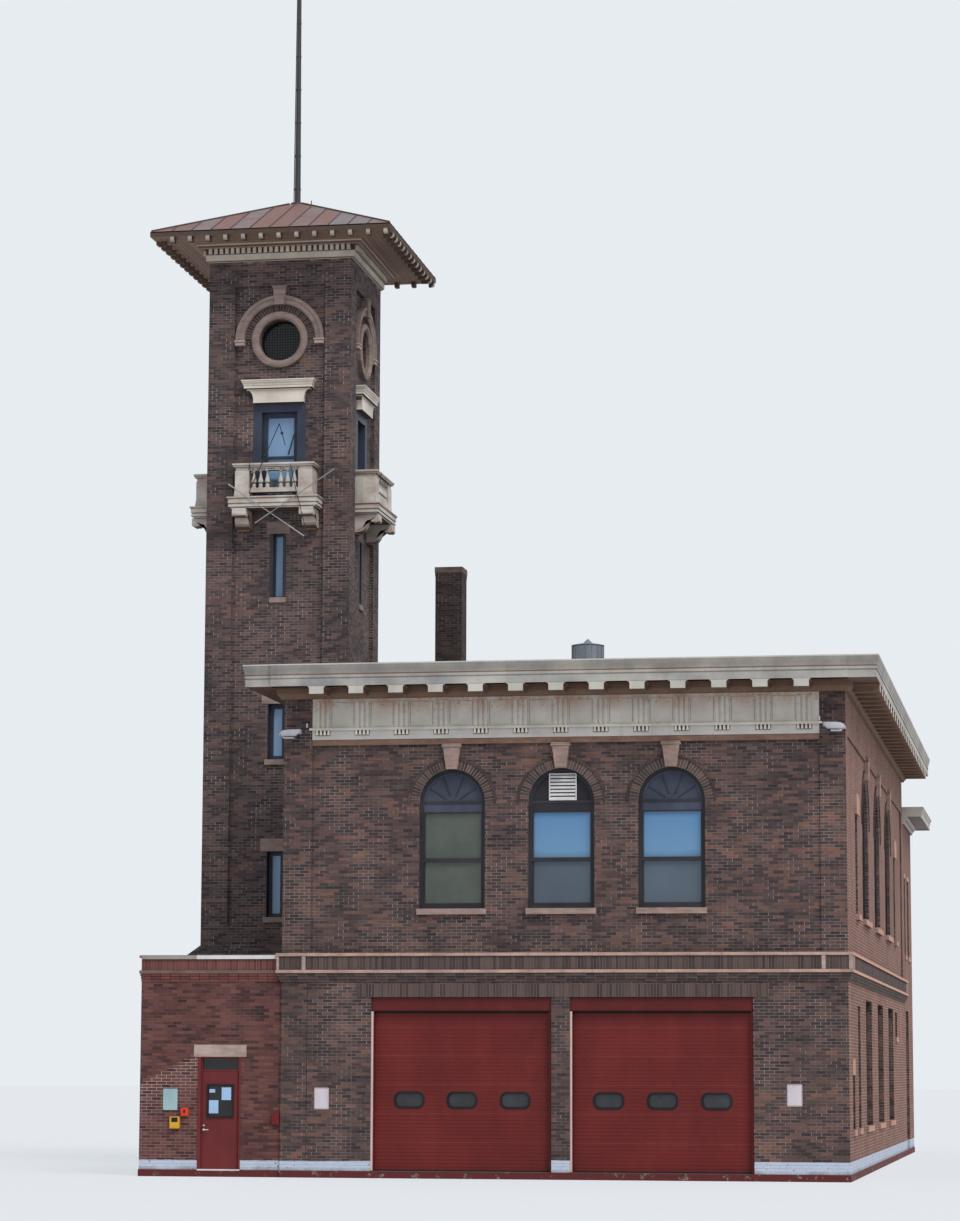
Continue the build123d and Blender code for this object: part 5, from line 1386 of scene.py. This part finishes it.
def balcony(parts, face, missing):
    """One balcony: slab with a moulded edge, pedestals, rails, turned balusters and scrolled consoles."""
    rails, white, specks, balusters, feet = parts
    back = -panel_recess
    foot, cap_foot, top = tower_floor - 0.28, 16.57, balcony_high.z
    rail_foot = cap_foot - 0.08
    half_slab, reach_slab, half_rail, reach_rail = 1.12, 0.60, 0.945, 0.48
    pedestal, baluster_pitch, gap_pitch, console_place = 0.34, 0.165, 0.057, 0.82
    edge = [(-0.12, tower_floor), (-0.12, foot), (-0.08, foot), (-0.072, foot + 0.03), (-0.04, foot + 0.035),
            (-0.04, foot + 0.095), (-0.055, foot + 0.098), (-0.055, foot + 0.12), (-0.03, foot + 0.125)]
    edge += [(-0.03, foot + 0.22)] + cyma(-0.022, foot + 0.225, -0.002, foot + 0.25, 3)
    edge += [(0.0, foot + 0.272), (-0.008, tower_floor)]
    rails.shelf(face, edge, half_slab, reach_slab, back)
    rails.box(face, -half_slab + 0.11, half_slab - 0.11, foot + 0.002, tower_floor - 0.002,
              back, reach_slab - 0.11)
    white.shelf(face, rectangle(-0.05, -0.037, foot + 0.037, foot + 0.093), half_slab, reach_slab, back)
    for side in (-1, 1):
        def span(near, far):
            return sorted((side * (half_rail - near), side * (half_rail - far)))
        levels = [(tower_floor, 0.022), (tower_floor + 0.03, 0.022), (tower_floor + 0.2, 0.0),
                  (rail_foot, 0.0)]
        rails.stack(face, *span(pedestal, 0), reach_rail - pedestal, reach_rail, levels)
        rails.box(face, *span(0.17, 0), tower_floor, rail_foot, back, reach_rail - 0.33)
        white.box(face, *span(-0.002, 0), tower_floor + 0.05, cap_foot - 0.1, 0.0, reach_rail - 0.36)
        rails.box(face, *span(0.325, 0.015), rail_foot, cap_foot, back, reach_rail - 0.015)
        console(rails, feet, face, side * console_place, foot)
    inner = half_rail - pedestal
    rails.box(face, -inner, inner, rail_foot, cap_foot, reach_rail - 0.16, reach_rail - 0.03)
    # Dark marks in the neck under the cap: painted shade in small gaps.
    for i in range(-10, 11):
        u = i * gap_pitch
        if chance.random() < 0.6:
            specks.box(face, u - 0.014, u + 0.014, cap_foot - 0.06, cap_foot - 0.03,
                       reach_rail - 0.05, reach_rail - 0.026)
    cap = [(-0.29, top), (-0.29, cap_foot), (-0.03, cap_foot), (-0.025, cap_foot + 0.018)]
    cap += cyma(-0.02, cap_foot + 0.022, -0.002, cap_foot + 0.055, 4) + [(0.0, top - 0.012), (-0.012, top)]
    rails.shelf(face, cap, 1.005, 0.54, back)
    # Dark strip across the cap: painted shade in a crack.
    specks.box(face, -0.585, -0.57, cap_foot, top + 0.0005, 0.26, 0.5405)
    low = tower_floor + 0.222
    rails.box(face, -inner, inner, tower_floor + 0.11, low, reach_rail - 0.17, reach_rail - 0.02)
    profile = [(0.0001, 0), (0.055, 0), (0.055, 0.07), (0.042, 0.08), (0.052, 0.13), (0.048, 0.19),
               (0.032, 0.235), (0.042, 0.27), (0.062, 0.33), (0.064, 0.40), (0.05, 0.52), (0.032, 0.68),
               (0.024, 0.84), (0.024, 0.9), (0.037, 0.915), (0.037, 0.94), (0.046, 0.95), (0.046, 1.0),
               (0.0001, 1.0)]
    profile = [(radius, (rail_foot - low) * share) for radius, share in profile]
    for i in range(-3, 4):
        if i != missing:
            u = i * baluster_pitch
            balusters.turned(lambda a, b, h, u=u: face(u + a, low + h, reach_rail - 0.085 + b), profile, 16)


def console(shape, feet, face, middle, top):
    """Scrolled bracket under a balcony."""
    def place(a, v, u):
        return face(middle + u, top + v, a)
    outline = [(-0.09, 0), (0.56, 0), (0.57, -0.03), (0.565, -0.05)]
    for a in (0.6, 0.1, -0.5, -1.0, -1.6, -2.1, -2.6):
        outline.append((0.50 + 0.075 * math.cos(a), -0.135 + 0.075 * math.sin(a)))
    outline += [(0.415, -0.17), (0.385, -0.15), (0.355, -0.145), (0.32, -0.16), (0.285, -0.20),
                (0.255, -0.26), (0.22, -0.33), (0.18, -0.385), (0.12, -0.42), (0.05, -0.435), (-0.09, -0.44)]
    shape.prism(place, outline, -0.17, 0.17)
    inner = [(a * 0.86, v * 0.82 - 0.03) for a, v in outline[1:-1] if a > 0]
    for low, high in ((-0.182, -0.165), (0.165, 0.182)):
        shape.prism(place, inner, low, high)
    foot = [(-0.09, -0.44), (0.06, -0.44), (0.05, -0.465), (0.02, -0.49), (-0.09, -0.49)]
    feet.prism(place, foot, -0.15, 0.15)


def balconies():
    """The four balconies; one baluster of the front one is missing."""
    parts = shapes(5)
    for face in tower_faces:
        balcony(parts, face, 0 if face is on_tower_front else None)
    rails, white, specks, balusters, feet = parts
    rails.piece("balcony_stone", "BalconyPaint", "cream_paint", bevel=0.006, smooth=35,
                replaces=("balconies",))
    white.piece("balcony_bands", "CreamClean", "cream_paint")
    # Painted shade in the gaps of the neck and in the crack of the cap.
    specks.piece("balcony_gaps", "Rubber", "cream_paint")
    balusters.piece("balcony_balusters", "CreamClean", "cream_paint", smooth=40)
    feet.piece("console_feet", "BrownStone", "sandstone", bevel=0.004)


def antenna_rods():
    """Thin crossed rods fixed to the front balcony."""
    bright, dark = shapes(2)
    y, sleeve = tower_low.y - 0.60, 0.017
    for shape, (x0, z0), (x1, z1), radius, depth in (
        (bright, (-8.922, 16.028), (-7.060, 14.733), 0.011, 0.0),
        (bright, (-8.255, 15.068), (-6.329, 16.330), 0.011, -0.02),
        (dark, (-7.688, 17.401), (-8.418, 15.748), 0.011, -0.01),
        (dark, (-7.688, 17.401), (-7.537, 16.874), 0.010, -0.01),
        (dark, (-7.330, 17.135), (-7.471, 16.642), 0.020, 0.02),
        (dark, (-7.407, 16.399), (-7.253, 15.718), 0.009, 0.0),
        (dark, (-7.253, 15.718), (-6.995, 14.748), 0.009, 0.0),
        (dark, (-8.842, 14.648), (-8.747, 14.887), 0.009, 0.0),
        (dark, (-8.842, 14.648), (-9.21, 14.656), 0.009, 0.0),
    ):
        rise = 0.12 if shape is bright else 0.18
        start, end = Vector((x0, y + depth, z0 + rise)), Vector((x1, y + depth, z1 + rise))
        shape.rod(start, end, radius)
        if shape is bright:
            for t0, t1 in ((0.0, 0.22), (0.8, 1.0)):
                shape.rod(start.lerp(end, t0), start.lerp(end, t1), sleeve)
    for x, z in ((-8.03, 16.81), (-7.62, 17.35)):
        dark.rod((x - 0.03, y - 0.02, z), (x + 0.03, y - 0.02, z), 0.028)
    bright.piece("antenna_rods", "RodMetal", "mast_metal", smooth=40)
    dark.piece("antenna_frame", "DarkRod", "mast_metal", smooth=40)


def tower_eaves():
    """Curved bands at the dentils with a dark band of painted shade behind them, shaped rafter ends with
    painted edges, and the drip edge.
    """
    low, soffit = tower_cornice_low.z, eave_low.z
    upper, under, gap_shadows, rafters, caps, drip = shapes(6)
    walls = corner_path(tower_low.x, tower_high.x, tower_low.y, tower_back_y)
    profile = [(0.0, low + 0.277), (0.203, low + 0.277)] + cyma(0.205, low + 0.283, 0.292, soffit - 0.012)
    upper.moulding(profile + [(0.294, soffit - 0.001), (0.0, soffit - 0.001)], walls, closed=True)
    profile = [(0.0, low - 0.05), (0.02, low - 0.05)] + cyma(0.03, low - 0.04, 0.068, low, 5) + [(0.0, low)]
    under.moulding(profile, walls, closed=True)
    # Dark band behind the dentils: painted shade between them.
    gap_shadows.moulding(rectangle(0.0, 0.084, low + 0.142, low + 0.272), walls, closed=True)
    upper.piece("tower_top_mould", "BeigePaint", "cream_paint", smooth=35)
    under.piece("tower_bed_mould", "DentilPaint", "cream_paint", smooth=35)
    gap_shadows.piece("dentil_gap_shadows", "PaintedShadow", "cream_paint")
    far, deep, spacing, corner = eave_half - tower_half - 0.02, 0.125, 0.437, 2.83
    angles = (0.0, 0.4, 0.8, 1.2, 1.5708)
    curve = [(far - 0.10 * (1 - math.cos(a)), -0.065 - 0.06 * math.sin(a)) for a in angles]
    cap = [(far - 0.02, 0), (far + 0.004, 0)] + [(a + 0.004, v - 0.003) for a, v in curve[:4]]
    cap += [(a - 0.008, v + 0.01) for a, v in reversed(curve[:4])]
    for face in tower_faces:
        for u in [(i - 5.5) * spacing for i in range(12)] + [corner]:
            near = far - (0.14 if u == corner else 0.25)

            def place(a, v, w, face=face, u=u):
                return face(u + w, soffit + v, a)
            rafters.prism(place, [(near, 0), (far, 0)] + curve + [(near, -deep)], -0.045, 0.045)
            caps.prism(place, cap, -0.047, 0.047)
    rafters.piece("rafter_ends", "RafterWood", "soffit_wood", bevel=0.005, replaces=("tower_rafters",))
    caps.piece("rafter_caps", "RafterPaint", "soffit_wood")
    eave = soffit + roof_edge
    path = corner_path(tower_x - eave_half, tower_x + eave_half, tower_y - eave_half, tower_y + eave_half)
    drip.moulding([(-0.06, eave + 0.006), (0.0, eave + 0.004), (0.0, eave - 0.022), (-0.06, eave - 0.022)],
                  path, closed=True)
    drip.piece("roof_drip_edge", "DarkRod", "galvanised")


def tower_roof_details():
    """Sheets with standing seams, hips, and the mast's flashing."""
    covers, seams, collar = shapes(3)
    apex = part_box("mast")[0].z
    eave = eave_low.z + roof_edge
    top_half, pitch, lift, seam, hip = 0.17, 0.48, 0.016, 0.013, 0.024
    rise, run = apex - eave, eave_half - top_half
    count = int(eave_half // pitch)

    def slope(side, along, t, up):
        """Point on one face of the roof: along its eave, and from the eave (0) to the top (1)."""
        out = eave_half - run * t
        x, y = ((along, -out), (out, along), (-along, out), (-out, -along))[side]
        return (tower_x + x, tower_y + y, eave + rise * t + up)

    def reach(along):
        return min(1.0, (eave_half - abs(along)) / run)
    lines = [i * pitch for i in range(-count, count + 1)]
    edges = [-eave_half] + lines + [eave_half]
    for side in range(4):
        for a, b in zip(edges, edges[1:]):
            corners = ((a, 0), (b, 0), (b, reach(b)), (a, reach(a)))
            covers.loft([[slope(side, along, t, up) for along, t in corners] for up in (0.004, 0.007)],
                        chance.random())
        for along in lines:
            seams.rod(slope(side, along, 0.003, lift), slope(side, along, reach(along), lift), seam, 6)
        seams.rod(slope(side, -eave_half + 0.03, 0.01, lift), slope(side, -top_half, 1.0, lift), hip)
    covers.piece("roof_sheets", "RoofSheets", "roof_metal")
    seams.piece("roof_seams", "SeamMetal", "roof_metal", smooth=50)
    flashing = ((0.07, 0.05), (0.17, 0.06), (0.2, -0.02), (0.26, -0.05), (0.07, -0.05))
    collar.turned(on_mast, [(radius, apex + up) for radius, up in flashing], 20)
    collar.rod((tower_x + 0.35, tower_y, apex - 0.18), (tower_x + 0.35, tower_y, apex + 0.12), 0.012)
    collar.piece("mast_collar", "MastMetal", "mast_metal", smooth=40)


def on_mast(a, b, h):
    """Place beside the mast's middle line, at a level."""
    return (tower_x + a, tower_y + b, h)


def mast_details():
    """Bands and a cable on the mast."""
    shape = Shape()
    foot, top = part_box("mast")[0].z, cad_high.z
    level, pitch, band = foot + 0.4, 0.85, 0.04
    while level < top - 0.3:
        radius = 0.075 - 0.04 * (level - foot) / (top - foot)
        shape.turned(on_mast, rectangle(radius - 0.004, radius + 0.008, level, level + band), 16)
        level += pitch
    shape.rod((tower_x - 0.095, tower_y, foot), (tower_x - 0.05, tower_y, top - 0.5), 0.012, 6)
    shape.piece("mast_bands", "MastMetal", "mast_metal", smooth=40)


def roof_details():
    """Hoops, ribs and skirt of the round vent, and the projecting courses and the cap of the chimney."""
    ribs, corbels, band = shapes(3)
    low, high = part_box("roof_vent")
    middle = (low + high) / 2

    def place(a, b, h):
        return (middle.x + a, middle.y + b, h)
    radius, shaft_top = 0.36, 11.78
    for level in (low.z + 0.3, low.z + 0.6, shaft_top - 0.02):
        hoop = [(radius - 0.002, level - 0.012), (radius + 0.012, level), (radius - 0.002, level + 0.012)]
        ribs.turned(place, hoop, 32)
    out, count = radius + 0.005, 16
    for a in (math.tau * i / count for i in range(count)):
        x, y = out * math.cos(a), out * math.sin(a)
        ribs.rod(place(x, y, low.z + 0.02), place(x, y, shaft_top), 0.007, 5)
    skirt = [(radius, low.z), (radius + 0.08, low.z), (radius + 0.08, low.z + 0.01), (out, low.z + 0.08)]
    ribs.turned(place, skirt, 32)
    ribs.piece("vent_ribs", "Galvanised", "galvanised", smooth=30)
    low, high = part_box("chimney")
    inset, course_height = 0.015, 0.06
    path = corner_path(low.x + inset, high.x - inset, low.y + inset, high.y - inset)
    for i, out in enumerate((0.005, 0.010)):
        foot = high.z - 0.27 + i * course_height
        corbels.moulding(rectangle(-0.02, out, foot, foot + course_height), path, closed=True)
    corbels.piece("chimney_corbels", "ChimneyBrick", "brick")
    profile = ((-0.05, -0.149), (0.002, -0.149), (0.002, -0.004), (-0.01, 0.001), (-0.05, 0.001))
    path = corner_path(low.x, high.x, low.y, high.y)
    band.moulding([(out, high.z + rise) for out, rise in profile], path, closed=True)
    band.piece("chimney_cap", "ChimneyCap", "brick")


def paint_frame():
    """Materials of the frame's own pieces."""
    for look, names in {
        "Brick": "front_piers front_lintel_wall front_wall_upper right_wall left_wall main_rear_wall "
                 "rear_side_walls rear_back_wall",
        "BeltMortar": "belt_course",
        "TowerBrick": "tower_base tower_front_wall tower_back_wall tower_side_walls",
        "AnnexBrick": "annex_front_piers annex_wall_over_door annex_left_wall",
        "ChimneyBrick": "chimney",
        "Sandstone": "front_stone_trim side_stone_trim tower_stone_trim",
        "PaleStone": "annex_lintel",
        "AnnexBand": "annex_coping",
        "CreamPaint": "main_cornice cornice_modillions rear_cornice balconies",
        "DentilPaint": "tower_cornice",
        "FriezePaint": "frieze",
        "WindowPaint": "front_window_frames side_window_frames",
        "NavyPaint": "tower_window_frames",
        "WindowGlass": "window_glass tower_glass",
        "ShadedPortholeGlass": "garage_door_glass",
        "DoorGlass": "man_door_glass man_door_transom",
        "BarnRed": "garage_doors",
        "TrimRed": "garage_door_frames rear_door",
        "ManDoorRed": "man_door_frame man_door_leaf",
        "HandleSteel": "man_door_handle",
        "SoffitBoards": "tower_roof tower_rafters",
        "MastMetal": "mast",
        "Galvanised": "roof_vent",
        "LampMetal": "floodlights wall_boxes",
        "SignWhite": "sign_plates",
        "RoofFelt": "roof_decks annex_roof",
        "Concrete": "foundation upper_floors tower_floor",
    }.items():
        for name in names.split():
            nodes[name].data.materials.clear()
            nodes[name].data.materials.append(looks[look])


def camera():
    """Camera of the photo, solved from the building's edges."""
    focal_pixels = 3402.02
    long_side_pixels = 1221
    eye = Vector((10.856, -72.007, 2.282))
    yaw, pitch, roll = (math.radians(a) for a in (9.9476, 7.702, 0.1885))
    ahead = Vector((-math.sin(yaw) * math.cos(pitch), math.cos(yaw) * math.cos(pitch), math.sin(pitch)))
    right = Vector((math.cos(yaw), math.sin(yaw), 0.0))
    up = right.cross(ahead)
    rolled_right = right * math.cos(roll) + up * math.sin(roll)
    rolled_up = up * math.cos(roll) - right * math.sin(roll)
    data = bpy.data.cameras.new("camera")
    data.sensor_width = 36.0
    data.lens = focal_pixels * data.sensor_width / long_side_pixels
    data.clip_end = 500.0
    thing = add_object("camera", data)
    turn = Matrix((rolled_right, rolled_up, -ahead)).transposed()
    thing.matrix_world = Matrix.Translation(eye) @ turn.to_4x4()
    bpy.context.scene.camera = thing


def seen_ray(tree):
    """1 for rays of the camera, of reflections and through glass."""
    path = tree.nodes.new("ShaderNodeLightPath")
    value = path.outputs["Is Camera Ray"]
    for name in ("Is Glossy Ray", "Is Transmission Ray"):
        either = tree.nodes.new("ShaderNodeMath")
        either.operation = "MAXIMUM"
        tree.links.new(value, either.inputs[0])
        tree.links.new(path.outputs[name], either.inputs[1])
        value = either.outputs[0]
    return value


def floor_and_light():
    """Pale floor and backdrop of one tone, an even sky and one broad soft lamp from the front right."""
    pale = (0.80, 0.84, 0.88, 1.0)
    size = 400.0
    mesh = bpy.data.meshes.new("floor")
    mesh.from_pydata([(x, y, 0) for x, y in rectangle(-size, size, -size, size)], [], [(0, 1, 2, 3)])
    floor = add_object("floor", mesh)
    look = Look("PaleFloor")
    shade = look.mix(look.noise(0.4, 3.0), (212, 212, 214), (222, 222, 224))
    mesh.materials.append(look.done(shade, 0.9))
    glow = look.field(0, "Emission", {"Color": pale, "Strength": 1.0})
    surface = next(node for node in look.tree.nodes if node.type == "OUTPUT_MATERIAL").inputs["Surface"]
    matt = Field(look, surface.links[0].from_socket)
    share = Field(look, seen_ray(look.tree)) * 0.72
    look.tree.links.new(look.field(0, "MixShader", {0: share, 1: matt, 2: glow}).socket, surface)
    lamp = bpy.data.lights.new("sun", "SUN")
    lamp.energy = 1.85
    lamp.angle = math.radians(25)
    lamp.color = (1.0, 0.97, 0.93)
    add_object("sun", lamp).rotation_euler = (math.radians(42), 0, math.radians(44))
    world = bpy.data.worlds.new("sky")
    bpy.context.scene.world = world
    world.use_nodes = True
    tree = world.node_tree
    tree.nodes.clear()
    choose = tree.nodes.new("ShaderNodeMixShader")
    output = tree.nodes.new("ShaderNodeOutputWorld")
    tree.links.new(seen_ray(tree), choose.inputs["Fac"])
    for slot, shade, strength in ((1, (0.86, 0.91, 1.0, 1.0), 0.66), (2, pale, 1.0)):
        sky = tree.nodes.new("ShaderNodeBackground")
        sky.inputs["Color"].default_value = shade
        sky.inputs["Strength"].default_value = strength
        tree.links.new(sky.outputs[0], choose.inputs[slot])
    tree.links.new(choose.outputs[0], output.inputs["Surface"])
    bpy.context.scene.view_settings.view_transform = "Standard"


for job in (
    paint_frame, brick_arches, arch_panels, sashes, window_moulds, belt, annex_details, frieze_details,
    keystone_caps, main_cornice, modillions, rear_cornice, garage_doors, man_door_details, wall_upright_lines,
    wall_fittings, floodlights, tower_stones, tower_bricks, balconies, antenna_rods, tower_eaves,
    tower_roof_details, mast_details, roof_details, camera, floor_and_light,
):
    job()
